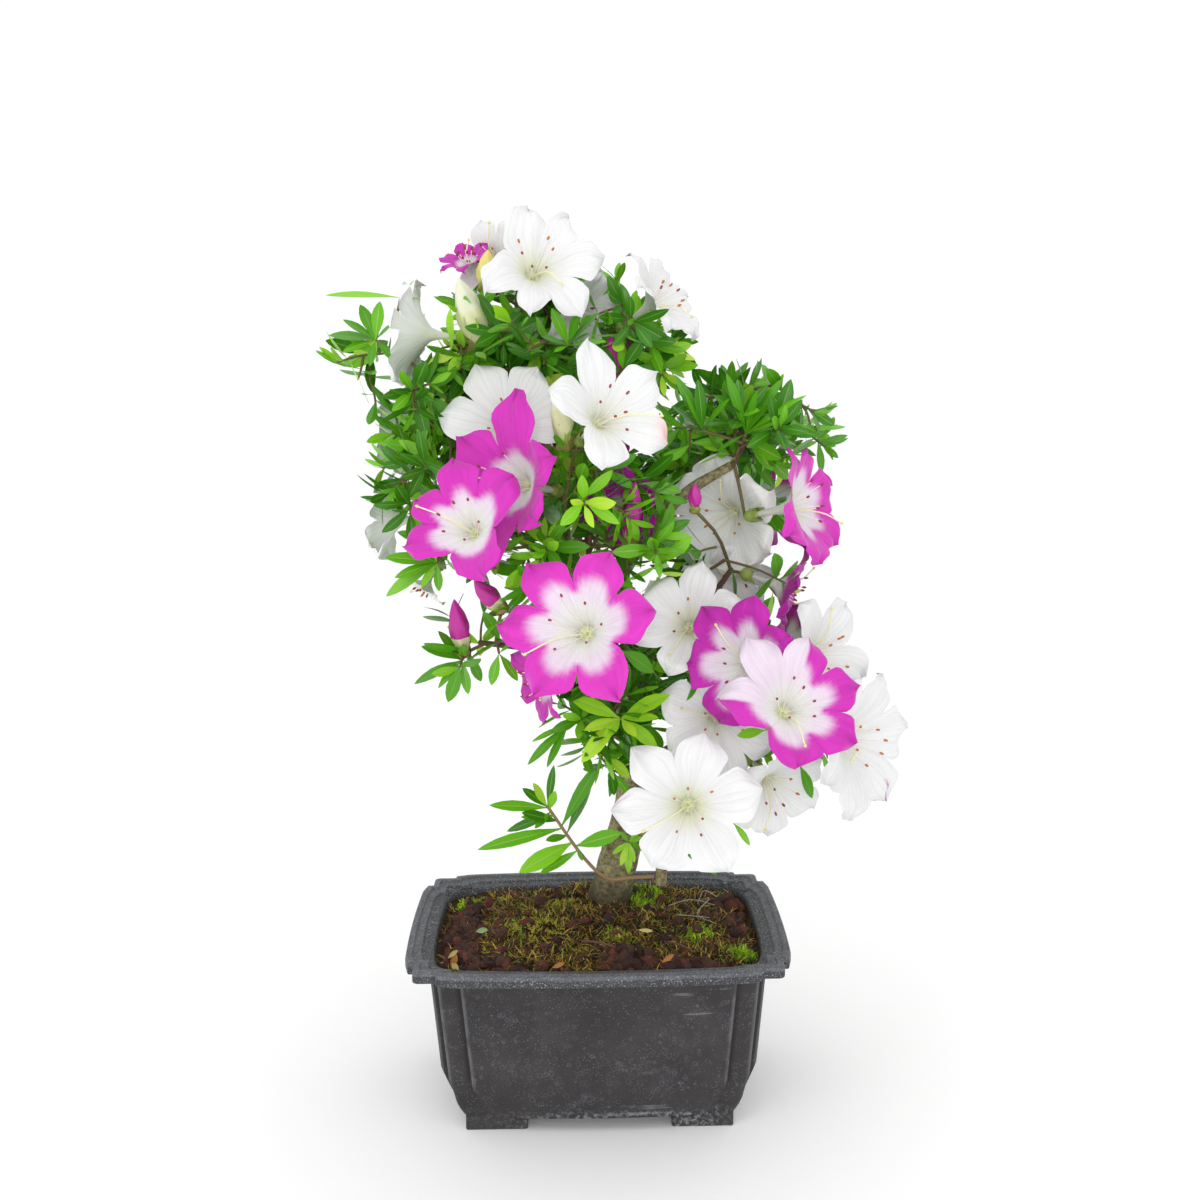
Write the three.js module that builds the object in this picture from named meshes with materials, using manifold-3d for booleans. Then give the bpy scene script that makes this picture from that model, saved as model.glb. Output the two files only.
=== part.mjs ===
// Satsuki azalea bonsai in a rectangular plastic training pot.
// Millimetres, +Z up. While it is built, x = y = 0 is the middle of the pot and z = 0 is
// the ground under its feet; the finished group is then centred on its own box.
// Every mass of foliage grows by one seeded rule: a stem, twigs that branch from it,
// a whorl of leaves on each twig, and the large blooms on stalks of their own.
import * as THREE from 'three';
import { mergeVertices } from 'three/addons/utils/BufferGeometryUtils.js';
import Module from 'manifold-3d';

const wasm = await Module();
wasm.setup();

// ---- Driving dimensions -------------------------------------------------------------

const GAP = 0.3;                     // clear space between neighbouring pieces

const POT = {
  halfWidth: 93.2,                   // outside of the rim, at the middle of a short side
  halfDepth: 65,
  height: 88,
  rimDrop: 5.7,                      // height of the rim's outer face
  bodyInset: 10,                     // from the rim's edge in to the wall under it
  footHeight: 8,
  floor: 11,                         // top of the pot's floor
  wall: 3.4,
};

const NOTCH = { width: 14.5, step: 3.0, sideStep: 3.3, sideWidth: 13 };
const BULGE = { long: 4.0, short: 2.7 };       // how far the pot's sides swell outwards

const SOIL = { edge: 81.5, plateau: 92, plateauRadius: 15 };

const FOOT = { outerX: 65, outerY: 45.5, length: 30, depth: 22, thick: 9, bracket: 14, bracketDrop: 3 };

// Trunk: centre line and radius, from the flat cut at the soil to the tip in the crown.
const TRUNK = [
  { at: [7.5, 19, SOIL.plateau + GAP], radius: 11.3 },
  { at: [8.5, 19, 99], radius: 10.2 },
  { at: [13.5, 18, 123], radius: 9.2 },
  { at: [20, 17, 150], radius: 8.7 },
  { at: [20, 15, 178], radius: 7.8 },
  { at: [11, 13, 212], radius: 6.8 },
  { at: [-2, 12, 245], radius: 5.8 },
  { at: [-15, 11, 280], radius: 4.7 },
  { at: [-27, 12, 315], radius: 3.6 },
  { at: [-35, 14, 346], radius: 2.5 },
];

// Boughs: each one tapering limb from the trunk to the place where its mass begins.
const BOUGHS = [
  { name: 'bough_upper_left', points: [[-26, 12, 312], [-46, 9, 329], [-60, 5, 339]], radii: [2.9, 1.8] },
  { name: 'bough_top_right', points: [[-12, 11, 272], [5, 9, 318], [13, 6, 352]], radii: [3.2, 1.8] },
  { name: 'bough_left', points: [[-6, 12, 256], [-28, 5, 277], [-46, 0, 289]], radii: [3.6, 2.0] },
  { name: 'bough_centre', points: [[4, 13, 228], [1, -8, 249], [-2, -20, 260]], radii: [3.6, 2.1] },
  { name: 'bough_left_low', points: [[12, 13, 209], [-12, 2, 225], [-30, -10, 231]], radii: [3.2, 1.7] },
  { name: 'bough_right', points: [[0, 12, 240], [26, -4, 286], [44, -13, 306], [64, -13, 318]], radii: [4.0, 2.1] },
  { name: 'bough_right_mid', points: [[11, 11, 212], [34, 5, 235], [50, 1, 247]], radii: [3.8, 2.1] },
  { name: 'bough_lower_right', points: [[21, 16, 160], [45, 8, 178], [60, 0, 186]], radii: [4.2, 2.4] },
  { name: 'bough_lower_centre', points: [[21, 16, 174], [13, -2, 184], [8, -12, 189]], radii: [3.2, 2.0] },
  { name: 'bough_back_left', points: [[-17, 12, 286], [-36, 30, 303], [-48, 40, 312]], radii: [3.2, 1.9] },
  { name: 'bough_back_top', points: [[-29, 12, 322], [-24, 30, 343], [-20, 38, 352]], radii: [2.8, 1.8] },
  { name: 'bough_back_centre', points: [[5, 13, 230], [0, 32, 256], [-2, 44, 268]], radii: [3.4, 2.0] },
  { name: 'bough_back_right', points: [[17, 18, 186], [34, 33, 238], [48, 38, 275]], radii: [3.8, 2.1] },
  { name: 'bough_back_low', points: [[21, 16, 184], [36, 32, 199], [44, 38, 205]], radii: [3.4, 2.1] },
  { name: 'bough_stub', points: [[17, 17, 137], [27, 5, 129], [32, -3, 120], [32, -4, 108]], radii: [3.6, 2.7] },
];

// Foliage: the space that each mass keeps to, and the limb whose tip its stem grows from.
const MASSES = [
  { name: 'foliage_top', centre: [-35, 2, 384], reach: [42, 44, 40], shoots: 8, from: 'trunk' },
  { name: 'foliage_upper_left', centre: [-84, 0, 354], reach: [43, 46, 42], shoots: 9, from: 'bough_upper_left' },
  { name: 'foliage_top_right', centre: [18, 4, 378], reach: [33, 38, 32], shoots: 6, from: 'bough_top_right' },
  { name: 'foliage_left', centre: [-67, -6, 304], reach: [40, 46, 45], shoots: 8, from: 'bough_left' },
  { name: 'foliage_centre', centre: [-2, -40, 290], reach: [48, 42, 54], shoots: 10, from: 'bough_centre' },
  { name: 'foliage_left_low', centre: [-55, -18, 236], reach: [33, 26, 28], shoots: 4, from: 'bough_left_low' },
  { name: 'foliage_right', centre: [72, -4, 334], reach: [44, 46, 30], shoots: 8, from: 'bough_right' },
  { name: 'foliage_right_mid', centre: [66, -4, 268], reach: [44, 44, 34], shoots: 7, from: 'bough_right_mid' },
  { name: 'foliage_lower_centre', centre: [3, -22, 206], reach: [38, 40, 42], shoots: 7, from: 'bough_lower_centre' },
  { name: 'foliage_lower_right', centre: [80, -14, 196], reach: [48, 46, 46], shoots: 8, from: 'bough_lower_right' },
  { name: 'foliage_back_left', centre: [-64, 54, 326], reach: [38, 38, 44], shoots: 8, from: 'bough_back_left' },
  { name: 'foliage_back_top', centre: [-14, 54, 372], reach: [42, 36, 40], shoots: 7, from: 'bough_back_top' },
  { name: 'foliage_back_centre', centre: [-4, 62, 292], reach: [44, 36, 44], shoots: 8, from: 'bough_back_centre' },
  { name: 'foliage_back_right', centre: [66, 52, 302], reach: [45, 38, 44], shoots: 8, from: 'bough_back_right' },
  { name: 'foliage_back_low', centre: [56, 50, 220], reach: [46, 36, 40], shoots: 7, from: 'bough_back_low' },
];

// The low sprig: a shoot from the cut stub that crosses in front of the trunk.
const SPRIG = {
  name: 'foliage_low_sprig',
  stem: [[28.4, -5, 112.6], [16.5, -7, 112.9], [5, -8, 113.3], [-7, -8, 125], [-24, -8, 151]],
  radii: [1.4, 0.9],
  leafTips: [
    [-52, -12, 154], [-21, -5, 171], [-36, -16, 151], [-45, -3, 137], [1, -10, 173.5],
    [-58, -18, 134], [-38, -20, 122], [12, -14, 139], [-28, -13, 118],
  ],
};

// Blooms: where the throat is, which way it faces (turn: degrees right of the front, lift:
// degrees above level) and how wide it opens.
const BLOOMS = [
  { mass: 'foliage_centre', throat: [-4, -75, 252], turn: -18, lift: 24, across: 70 },
  { mass: 'foliage_centre', throat: [-52, -62, 294], turn: -24, lift: 30, across: 58 },
  { mass: 'foliage_centre', throat: [-29, -45, 313], turn: -42, lift: 12, across: 66 },
  { mass: 'foliage_centre', throat: [1, -61, 341], turn: 28, lift: 28, across: 60 },
  { mass: 'foliage_left', throat: [-38, -8, 335], turn: -8, lift: 16, across: 60 },
  { mass: 'foliage_left', throat: [-90, 10, 291], turn: -102, lift: 6, across: 46 },
  { mass: 'foliage_left', throat: [-80, 10, 262], turn: -64, lift: -52, across: 27 },
  { mass: 'foliage_upper_left', throat: [-72, -7, 379], turn: -98, lift: 6, across: 54 },
  { mass: 'foliage_top', throat: [-27, -20, 404], turn: 15, lift: 34, across: 58 },
  { mass: 'foliage_top', throat: [-43, 12, 410], turn: -42, lift: 24, across: 44 },
  { mass: 'foliage_top', throat: [-8, 2, 396], turn: 42, lift: -4, across: 52 },
  { mass: 'foliage_top_right', throat: [27, 0, 388], turn: 62, lift: 34, across: 52 },
  { mass: 'foliage_right_mid', throat: [44, -28, 244], turn: -6, lift: 24, across: 56 },
  { mass: 'foliage_lower_right', throat: [71, -54, 232], turn: -32, lift: 10, across: 60 },
  { mass: 'foliage_lower_right', throat: [81, -77, 216], turn: 13, lift: 32, across: 62 },
  { mass: 'foliage_lower_right', throat: [97, -33, 231], turn: 46, lift: 16, across: 58 },
  { mass: 'foliage_lower_right', throat: [111, -40, 194], turn: 45, lift: 4, across: 66 },
  { mass: 'foliage_lower_right', throat: [40, -72, 173], turn: -3, lift: 14, across: 65 },
  { mass: 'foliage_lower_right', throat: [56, -26, 201], turn: 5, lift: 8, across: 60 },
  { mass: 'foliage_lower_right', throat: [80, -30, 172], turn: 24, lift: -20, across: 52 },
  { mass: 'foliage_right', throat: [87, -25, 299], turn: 60, lift: 14, across: 58 },
  { mass: 'foliage_right_mid', throat: [69, 10, 294], turn: -10, lift: 0, across: 60 },
  { mass: 'foliage_right_mid', throat: [84, -12, 262], turn: 78, lift: -18, across: 46 },
  { mass: 'foliage_centre', throat: [11, -12, 299], turn: 4, lift: 8, across: 42 },
  { mass: 'foliage_lower_centre', throat: [-17, -38, 222], turn: -46, lift: -16, across: 48 },
  { mass: 'foliage_back_left', throat: [-60, 86, 336], turn: 192, lift: 20, across: 62 },
  { mass: 'foliage_back_left', throat: [-84, 56, 328], turn: 236, lift: 14, across: 56 },
  { mass: 'foliage_back_top', throat: [-16, 82, 388], turn: 176, lift: 34, across: 60 },
  { mass: 'foliage_back_centre', throat: [-2, 94, 302], turn: 182, lift: 12, across: 64 },
  { mass: 'foliage_back_right', throat: [70, 84, 322], turn: 160, lift: 24, across: 62 },
  { mass: 'foliage_back_right', throat: [86, 60, 286], turn: 128, lift: 14, across: 58 },
  { mass: 'foliage_back_low', throat: [58, 82, 232], turn: 170, lift: 6, across: 60 },
  { mass: 'foliage_back_low', throat: [98, 46, 212], turn: 116, lift: 4, across: 58 },
];

// Buds: foot and tip of each, and how thick it is.
const BUDS = [
  { mass: 'foliage_upper_left', foot: [-50, -15, 372], tip: [-60, -20, 404], thick: 13 },
  { mass: 'foliage_centre', foot: [-13, -46, 330], tip: [-15, -48, 360], thick: 10 },
  { mass: 'foliage_left_low', foot: [-62, -20, 236], tip: [-66, -25, 260], thick: 8 },
  { mass: 'foliage_left_low', foot: [-43, -30, 254], tip: [-55, -36, 269], thick: 8 },
];

const LEAF = {
  length: 41, width: 15.5, thick: 1.1, perWhorl: 6, spacing: 1.8, stray: 0.6,
  fits: [1, 0.84, 0.7], reach: 1.12,
};
const TWIG = { radius: 1.3, root: 0.5, stalk: 0.9, stem: 1.9, sides: 3 };
const SEED = 20817;
const NUDGE = 0.25;
const SHORTEST_EDGE = 0.002;
const MOST_ATTEMPTS = 20;
const GOLDEN_ANGLE = Math.PI * (3 - Math.sqrt(5));

// ---- Small helpers ------------------------------------------------------------------

const vector = (list) => new THREE.Vector3(...list);
const mix = THREE.MathUtils.lerp;
const UP = new THREE.Vector3(0, 0, 1);

// A small repeatable stream of numbers from 0 to 1.
function stream(seed) {
  let state = seed;
  return () => {
    state = (state * 1664525 + 1013904223) % 4294967296;
    return state / 4294967296;
  };
}

// Moves a point a little, so that no two joined pieces share a corner exactly.
const shake = stream(SEED);
function nudge(point, amount) {
  const offset = new THREE.Vector3(shake() - 0.5, shake() - 0.5, shake() - 0.5);
  return point.clone().addScaledVector(offset, 2 * amount);
}

function solidOf(geometry) {
  const bare = geometry.clone();
  bare.deleteAttribute('normal');
  bare.deleteAttribute('uv');
  const merged = mergeVertices(bare);
  return new wasm.Manifold(new wasm.Mesh({
    numProp: 3,
    vertProperties: new Float32Array(merged.attributes.position.array),
    triVerts: new Uint32Array(merged.index.array),
  }));
}

function geometryOf(solid) {
  const mesh = solid.getMesh();
  const geometry = new THREE.BufferGeometry();
  geometry.setAttribute('position', new THREE.BufferAttribute(mesh.vertProperties.slice(), 3));
  geometry.setIndex(new THREE.BufferAttribute(mesh.triVerts.slice(), 1));
  geometry.computeVertexNormals();
  return geometry;
}

// The largest connected body of a solid: loose scraps of a join are dropped.
function largestBody(solid) {
  const bodies = solid.decompose();
  return bodies.reduce((best, body) => (body.volume() > best.volume() ? body : best));
}

function triangulateCap(ring, facingUp) {
  const contour = ring.map((point) => new THREE.Vector2(point.x, point.y));
  return THREE.ShapeUtils.triangulateShape(contour, []).map(([a, b, c]) => {
    const turn = contour[b].clone().sub(contour[a]).cross(contour[c].clone().sub(contour[a]));
    return turn > 0 === facingUp ? [a, b, c] : [a, c, b];
  });
}

const fan = (count) => Array.from({ length: count - 2 }, (_, i) => [0, i + 1, i + 2]);

// A closed skin over rings of equal count. Flat outlines that are not convex get their
// ends triangulated; limbs and petals have convex ends.
function loft(rings, flatEnds = false) {
  const count = rings[0].length;
  const index = [];
  for (let ring = 0; ring + 1 < rings.length; ring++) {
    for (let i = 0; i < count; i++) {
      const a = ring * count + i;
      const b = ring * count + ((i + 1) % count);
      index.push(a, b, b + count, a, b + count, a + count);
    }
  }
  const last = (rings.length - 1) * count;
  const first = flatEnds ? triangulateCap(rings[0], false) : fan(count).map(([a, b, c]) => [a, c, b]);
  const end = flatEnds ? triangulateCap(rings.at(-1), true) : fan(count);
  first.forEach((face) => index.push(...face));
  end.forEach((face) => index.push(...face.map((i) => i + last)));
  const geometry = new THREE.BufferGeometry();
  const positions = rings.flat().flatMap((point) => [point.x, point.y, point.z]);
  geometry.setAttribute('position', new THREE.Float32BufferAttribute(positions, 3));
  geometry.setIndex(index);
  return geometry;
}

function anyPerpendicular(direction) {
  const helper = Math.abs(direction.z) < 0.9 ? UP : new THREE.Vector3(1, 0, 0);
  return new THREE.Vector3().crossVectors(helper, direction).normalize();
}

// Rings across a centre line, each square to it; shape(angle, t) swells the radius.
function tubeRings(points, radiusAt, sides, shape = () => 1, startNormal = null) {
  let side = null;
  return points.map((point, i) => {
    const before = points[Math.max(i - 1, 0)];
    const after = points[Math.min(i + 1, points.length - 1)];
    let tangent = after.clone().sub(before).normalize();
    if (i === 0 && startNormal) tangent = startNormal.clone();
    side = side ? side.clone().addScaledVector(tangent, -side.dot(tangent)).normalize()
      : anyPerpendicular(tangent);
    const other = new THREE.Vector3().crossVectors(tangent, side);
    const t = i / (points.length - 1);
    return Array.from({ length: sides }, (_, k) => {
      const angle = (k / sides) * 2 * Math.PI;
      const radius = radiusAt(t) * shape(angle, t);
      return point.clone()
        .addScaledVector(side, radius * Math.cos(angle))
        .addScaledVector(other, radius * Math.sin(angle));
    });
  });
}

// ---- Pot ----------------------------------------------------------------------------

// A rectangle with swelling sides. Its corners step back twice, round a column, or are
// plain arcs; both kinds have the same number of points, so that they can be lofted.
function potOutline(halfWidth, halfDepth, stepped, cornerRadius, notchShare) {
  const longSwell = (x) => BULGE.long * (x / halfWidth) ** 2;
  const shortSwell = (y) => BULGE.short * (y / halfDepth) ** 2;
  const corner = () => {
    if (!stepped) {
      const centre = [halfWidth - BULGE.short - cornerRadius, halfDepth - BULGE.long - cornerRadius];
      return Array.from({ length: 8 }, (_, i) => {
        const angle = (i / 7) * (Math.PI / 2);
        return [centre[0] + cornerRadius * Math.cos(angle), centre[1] + cornerRadius * Math.sin(angle)];
      });
    }
    const x = halfWidth - BULGE.short;
    const y = halfDepth - BULGE.long;
    const { width, sideWidth } = NOTCH;
    const step = NOTCH.step * notchShare;
    const sideStep = NOTCH.sideStep * notchShare;
    const round = cornerRadius;
    const soft = 0.3 * step;
    return [
      [x, y - sideWidth - 1.3 * soft], [x - soft, y - sideWidth],
      [x - sideStep, y - sideWidth],
      [x - sideStep, y - step - round], [x - sideStep - round, y - step],
      [x - width, y - step],
      [x - width, y - soft], [x - width - 1.3 * soft, y],
    ];
  };
  const quarter = corner();
  const shortSide = [-0.5, 0, 0.5].map((k) => [halfWidth - shortSwell(k * halfDepth), k * halfDepth]);
  const longSide = [0.5, 0, -0.5].map((k) => [k * halfWidth, halfDepth - longSwell(k * halfWidth)]);
  const mirrored = quarter.map(([x, y]) => [-x, y]).reverse();
  const half = [...shortSide, ...quarter, ...longSide, ...mirrored];
  const otherHalf = half.map(([x, y]) => [-x, -y]);
  return [...half, ...otherHalf].map(([x, y]) => new THREE.Vector2(x, y));
}

// The wall's outline at a height: the rim is notched fully, the wall under it less, and
// the inside is a plain rounded rectangle.
function potRing(inset, z, { stepped = true, cornerRadius = 2.5, depthInset = inset, notchShare = 1 } = {}) {
  const outline = potOutline(
    POT.halfWidth - inset, POT.halfDepth - depthInset, stepped, cornerRadius, notchShare);
  return outline.map((point) => new THREE.Vector3(point.x, point.y, z));
}

const wallRing = (inset, depthInset, z, cornerRadius = 5.5, notchShare = 0.6) => potRing(
  POT.bodyInset + inset, z, { cornerRadius, depthInset: POT.bodyInset + depthInset, notchShare });

const insideRing = (inset, depthInset, z) => potRing(
  POT.bodyInset + POT.wall + inset, z,
  { stepped: false, cornerRadius: 9, depthInset: POT.bodyInset + POT.wall + depthInset });

function makeFoot(signX, signY) {
  const { outerX, outerY, length, depth, thick, bracket, bracketDrop } = FOOT;
  const plan = new THREE.Shape([
    [outerX, outerY], [outerX, outerY - depth], [outerX - thick, outerY - depth],
    [outerX - thick, outerY - thick], [outerX - length, outerY - thick], [outerX - length, outerY],
  ].map(([x, y]) => new THREE.Vector2(x, y)));
  const foot = new THREE.ExtrudeGeometry(plan, { depth: POT.footHeight + 1, bevelEnabled: false });
  const brace = new THREE.BoxGeometry(bracket + 2, thick, bracketDrop + 1);
  brace.translate(outerX - length - bracket / 2 + 1, outerY - thick / 2,
    POT.footHeight + 1 - (bracketDrop + 1) / 2);
  const solid = solidOf(foot).add(solidOf(brace));
  return [signX < 0 ? [1, 0, 0] : null, signY < 0 ? [0, 1, 0] : null]
    .filter(Boolean)
    .reduce((shape, normal) => shape.mirror(normal), solid);
}

function makePot() {
  const { height, rimDrop, footHeight, floor } = POT;
  const under = height - rimDrop;
  const shell = solidOf(loft([
    wallRing(14.3, 4.4, footHeight, 3, 0.2),
    wallRing(11.6, 3.9, 10.2, 4, 0.35),
    wallRing(7.2, 3.0, 18),
    wallRing(4.6, 2.6, 25),
    wallRing(0, 0, under),
    potRing(0.5, under + 0.1),
    potRing(0, height - 0.6),
    potRing(0.6, height),
    potRing(3.0, height),
    potRing(3.4, height - 0.6),
    potRing(7.0, height - 0.8),
    insideRing(-0.7, -0.7, height - 3),
    insideRing(4.6, 2.6, 25),
    insideRing(14, 7.5, floor),
  ], true));
  const feet = [[1, 1], [1, -1], [-1, 1], [-1, -1]].map(([x, y]) => makeFoot(x, y));
  return wasm.Manifold.union([shell, ...feet]);
}

// ---- Soil ---------------------------------------------------------------------------

function makeSoil() {
  const [footX, footY] = TRUNK[0].at;
  const edge = insideRing(GAP, GAP, SOIL.edge);
  const lump = (x, y) => 0.9 * Math.sin(x / 7.3 + 1) * Math.cos(y / 6.1) + 0.6 * Math.sin(x / 3.7 - y / 4.9);
  const ringAt = (share) => edge.map((point) => {
    const angle = Math.atan2(point.y - footY, point.x - footX);
    const x = mix(point.x, footX + SOIL.plateauRadius * Math.cos(angle), share);
    const y = mix(point.y, footY + SOIL.plateauRadius * Math.sin(angle), share);
    const rise = share * share * (3 - 2 * share);
    const rough = share > 0 && share < 1 ? lump(x, y) : 0;
    return new THREE.Vector3(x, y, mix(SOIL.edge, SOIL.plateau, rise) + rough);
  });
  return solidOf(loft([
    insideRing(14 + GAP, 7.5 + GAP, POT.floor + GAP),
    insideRing(4.6 + GAP, 2.6 + GAP, 25 + GAP),
    edge,
    ringAt(0.35), ringAt(0.7), ringAt(1),
  ], true));
}

// ---- Trunk and boughs ---------------------------------------------------------------

// A smooth centre line through a limb's stations.
function limbLine(stations, steps) {
  const curve = new THREE.CatmullRomCurve3(stations.map(vector));
  return Array.from({ length: steps + 1 }, (_, i) => curve.getPoint(i / steps));
}

const trunkLine = () => limbLine(TRUNK.map((station) => station.at), 13);
const boughLine = (bough) => limbLine(bough.points, 4);

// The last point of a line and the way it points there.
function lineEnd(line) {
  return { tip: line.at(-1), direction: line.at(-1).clone().sub(line.at(-2)).normalize() };
}

function extendEnd(line, length) {
  const { tip, direction } = lineEnd(line);
  tip.addScaledVector(direction, length);
  return line;
}

function makeTrunk(grow = 0) {
  const points = extendEnd(trunkLine(), grow);
  const radiusAt = (t) => {
    const place = t * (TRUNK.length - 1);
    const station = Math.min(Math.floor(place), TRUNK.length - 2);
    return mix(TRUNK[station].radius, TRUNK[station + 1].radius, place - station) + grow;
  };
  const flare = (angle, t) => 1 + 0.1 * Math.max(0, 1 - 9 * t) * Math.cos(4 * angle + 0.6);
  return solidOf(loft(tubeRings(points, radiusAt, 9, flare, UP)));
}

function makeBough(bough, grow = 0) {
  const line = extendEnd(boughLine(bough), grow);
  const radiusAt = (t) => mix(bough.radii[0], bough.radii[1], t) + grow;
  return solidOf(loft(tubeRings(line, radiusAt, 5)));
}

// ---- Leaves, twigs, blooms and buds -------------------------------------------------

function makeTwig(points, fromRadius, toRadius, startNormal = null) {
  const radiusAt = (t) => mix(fromRadius, toRadius, t);
  return solidOf(loft(tubeRings(points, radiusAt, TWIG.sides, undefined, startNormal)));
}

// A leaf of eight faces: a pointed lozenge with a ridge above and below.
function makeLeaf({ root, direction, normal, length, width }, grow = 0) {
  const across = new THREE.Vector3().crossVectors(direction, normal).normalize();
  const middle = root.clone().addScaledVector(direction, length * 0.48);
  const lift = LEAF.thick / 2 + grow;
  const corners = [
    root.clone().addScaledVector(direction, -grow),
    middle.clone().addScaledVector(across, width / 2 + grow),
    root.clone().addScaledVector(direction, length + grow),
    middle.clone().addScaledVector(across, -width / 2 - grow),
  ];
  const top = middle.clone().addScaledVector(normal, lift);
  const bottom = middle.clone().addScaledVector(normal, -lift);
  const positions = [...corners, top, bottom].flatMap((point) => [point.x, point.y, point.z]);
  const index = [0, 1, 2, 3].flatMap((i) => [i, (i + 1) % 4, 4, (i + 1) % 4, i, 5]);
  const geometry = new THREE.BufferGeometry();
  geometry.setAttribute('position', new THREE.Float32BufferAttribute(positions, 3));
  geometry.setIndex(index);
  return solidOf(geometry);
}

function facing(turn, lift) {
  const side = THREE.MathUtils.degToRad(turn);
  const rise = THREE.MathUtils.degToRad(lift);
  return new THREE.Vector3(
    Math.sin(side) * Math.cos(rise), -Math.cos(side) * Math.cos(rise), Math.sin(rise));
}

// A funnel that opens into six pointed lobes. Heights along its axis are measured from
// the throat, as shares of its width.
const FUNNEL = {
  lobes: 6, heel: -0.3, pit: -0.06, neck: 0.07, neckRadius: 0.16,
  notch: 0.23, notchRadius: 0.27, tip: 0.31,
};

function makeBloom({ throat, turn, lift, across }, grow = 0) {
  const axis = facing(turn, lift);
  const side = anyPerpendicular(axis);
  const other = new THREE.Vector3().crossVectors(axis, side);
  const count = FUNNEL.lobes;
  const place = (height, radius, turns) => vector(throat).addScaledVector(axis, height)
    .addScaledVector(side, radius * Math.cos(turns * 2 * Math.PI))
    .addScaledVector(other, radius * Math.sin(turns * 2 * Math.PI));
  const ring = (height, radius, shift = 0) => Array.from(
    { length: count }, (_, i) => place(height, radius, (i + shift) / count));
  const wall = 0.7 + grow;
  const points = [
    ...ring(FUNNEL.neck * across - wall, FUNNEL.neckRadius * across + wall),
    ...ring(FUNNEL.tip * across, across / 2 + grow),
    ...ring(FUNNEL.notch * across, FUNNEL.notchRadius * across + grow, 0.5),
    ...ring(FUNNEL.neck * across + wall, FUNNEL.neckRadius * across - wall),
    place(FUNNEL.heel * across - grow, 0, 0),
    place(FUNNEL.pit * across + grow, 0, 0),
  ];
  const [outer, tip, notch, inner, heel] = [0, 1, 2, 3, 4].map((row) => row * count);
  const pit = heel + 1;
  const index = [];
  for (let i = 0; i < count; i++) {
    const next = (i + 1) % count;
    index.push(heel, outer + next, outer + i);
    index.push(outer + i, notch + i, tip + i);
    index.push(outer + i, outer + next, notch + i);
    index.push(outer + next, tip + next, notch + i);
    index.push(inner + i, tip + i, notch + i);
    index.push(inner + i, notch + i, inner + next);
    index.push(inner + next, notch + i, tip + next);
    index.push(pit, inner + i, inner + next);
  }
  const geometry = new THREE.BufferGeometry();
  const positions = points.flatMap((point) => [point.x, point.y, point.z]);
  geometry.setAttribute('position', new THREE.Float32BufferAttribute(positions, 3));
  geometry.setIndex(index);
  return solidOf(geometry);
}

// Whether a point lies in or just in front of a bloom, where no leaf should stand.
function bloomHolds({ throat, turn, lift, across }, point) {
  const axis = facing(turn, lift);
  const offset = point.clone().sub(vector(throat));
  const height = offset.dot(axis);
  const radius = offset.addScaledVector(axis, -height).length();
  if (height < FUNNEL.heel * across || height > 0.55 * across) return false;
  const open = THREE.MathUtils.clamp((height / across - FUNNEL.heel) / 0.5, 0, 1);
  return radius < (0.08 + 0.42 * open) * across;
}

function makeBud({ foot, tip, thick }, grow = 0) {
  const line = [0, 0.35, 0.7, 1].map((t) => vector(foot).lerp(vector(tip), t));
  const swell = [0.35, 1, 0.7, 0.12];
  return solidOf(loft(tubeRings(line, (t) => (thick / 2) * swell[Math.round(t * 3)] + grow, 6)));
}

// ---- Growth -------------------------------------------------------------------------

// Everything placed so far, a little swollen, so that other nodes can keep clear of it.
const placed = [];

const boxesMeet = (a, b) => [0, 1, 2].every((k) => a.min[k] <= b.max[k] && b.min[k] <= a.max[k]);

function isClear(solid, mayTouch) {
  const box = solid.boundingBox();
  return placed.every((other) => mayTouch(other) || !boxesMeet(box, other.box)
    || solid.intersect(other.solid).isEmpty());
}

function remember(node, swollen, twig = null) {
  placed.push({ node, twig, box: swollen.boundingBox(), solid: swollen });
}

const insideReach = (mass, point, allowance) => {
  const offset = point.clone().sub(vector(mass.centre)).divide(vector(mass.reach));
  return offset.length() <= allowance;
};

// The leaves of one whorl: the lowest spread widest, the young ones stand up. Each leaves
// the twig through the middle of one of its sides.
function whorl(from, tip, lean, count, random) {
  const along = tip.clone().sub(from).normalize();
  const side = anyPerpendicular(along);
  const other = new THREE.Vector3().crossVectors(along, side);
  return Array.from({ length: count }, (_, i) => {
    const age = 1 - i / count;
    const angle = ((i + 0.5) / TWIG.sides) * 2 * Math.PI + LEAF.stray * (random() - 0.5);
    const spread = THREE.MathUtils.degToRad(mix(34, 78, age) + 12 * (random() - 0.5));
    const radial = side.clone().multiplyScalar(Math.cos(angle)).addScaledVector(other, Math.sin(angle));
    const direction = along.clone().multiplyScalar(Math.cos(spread))
      .addScaledVector(radial, Math.sin(spread)).addScaledVector(lean, 0.3).normalize();
    const normal = along.clone().addScaledVector(direction, -along.dot(direction)).normalize();
    const size = mix(0.72, 1, age) * mix(0.88, 1.1, random());
    const down = 1 + LEAF.spacing * (count - 1 - i);
    const root = nudge(tip.clone().addScaledVector(along, -down), NUDGE);
    return { root, direction, normal, length: LEAF.length * size, width: LEAF.width * size };
  });
}

const sized = (leaf, share) => ({ ...leaf, length: leaf.length * share, width: leaf.width * share });

// A leaf stays in its mass's space and out of every bloom.
function leafFits(mass, { root, direction, length }) {
  const tip = root.clone().addScaledVector(direction, length);
  const middle = root.clone().lerp(tip, 0.55);
  return insideReach(mass, tip, LEAF.reach)
    && !BLOOMS.some((bloom) => bloomHolds(bloom, tip) || bloomHolds(bloom, middle));
}

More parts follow.
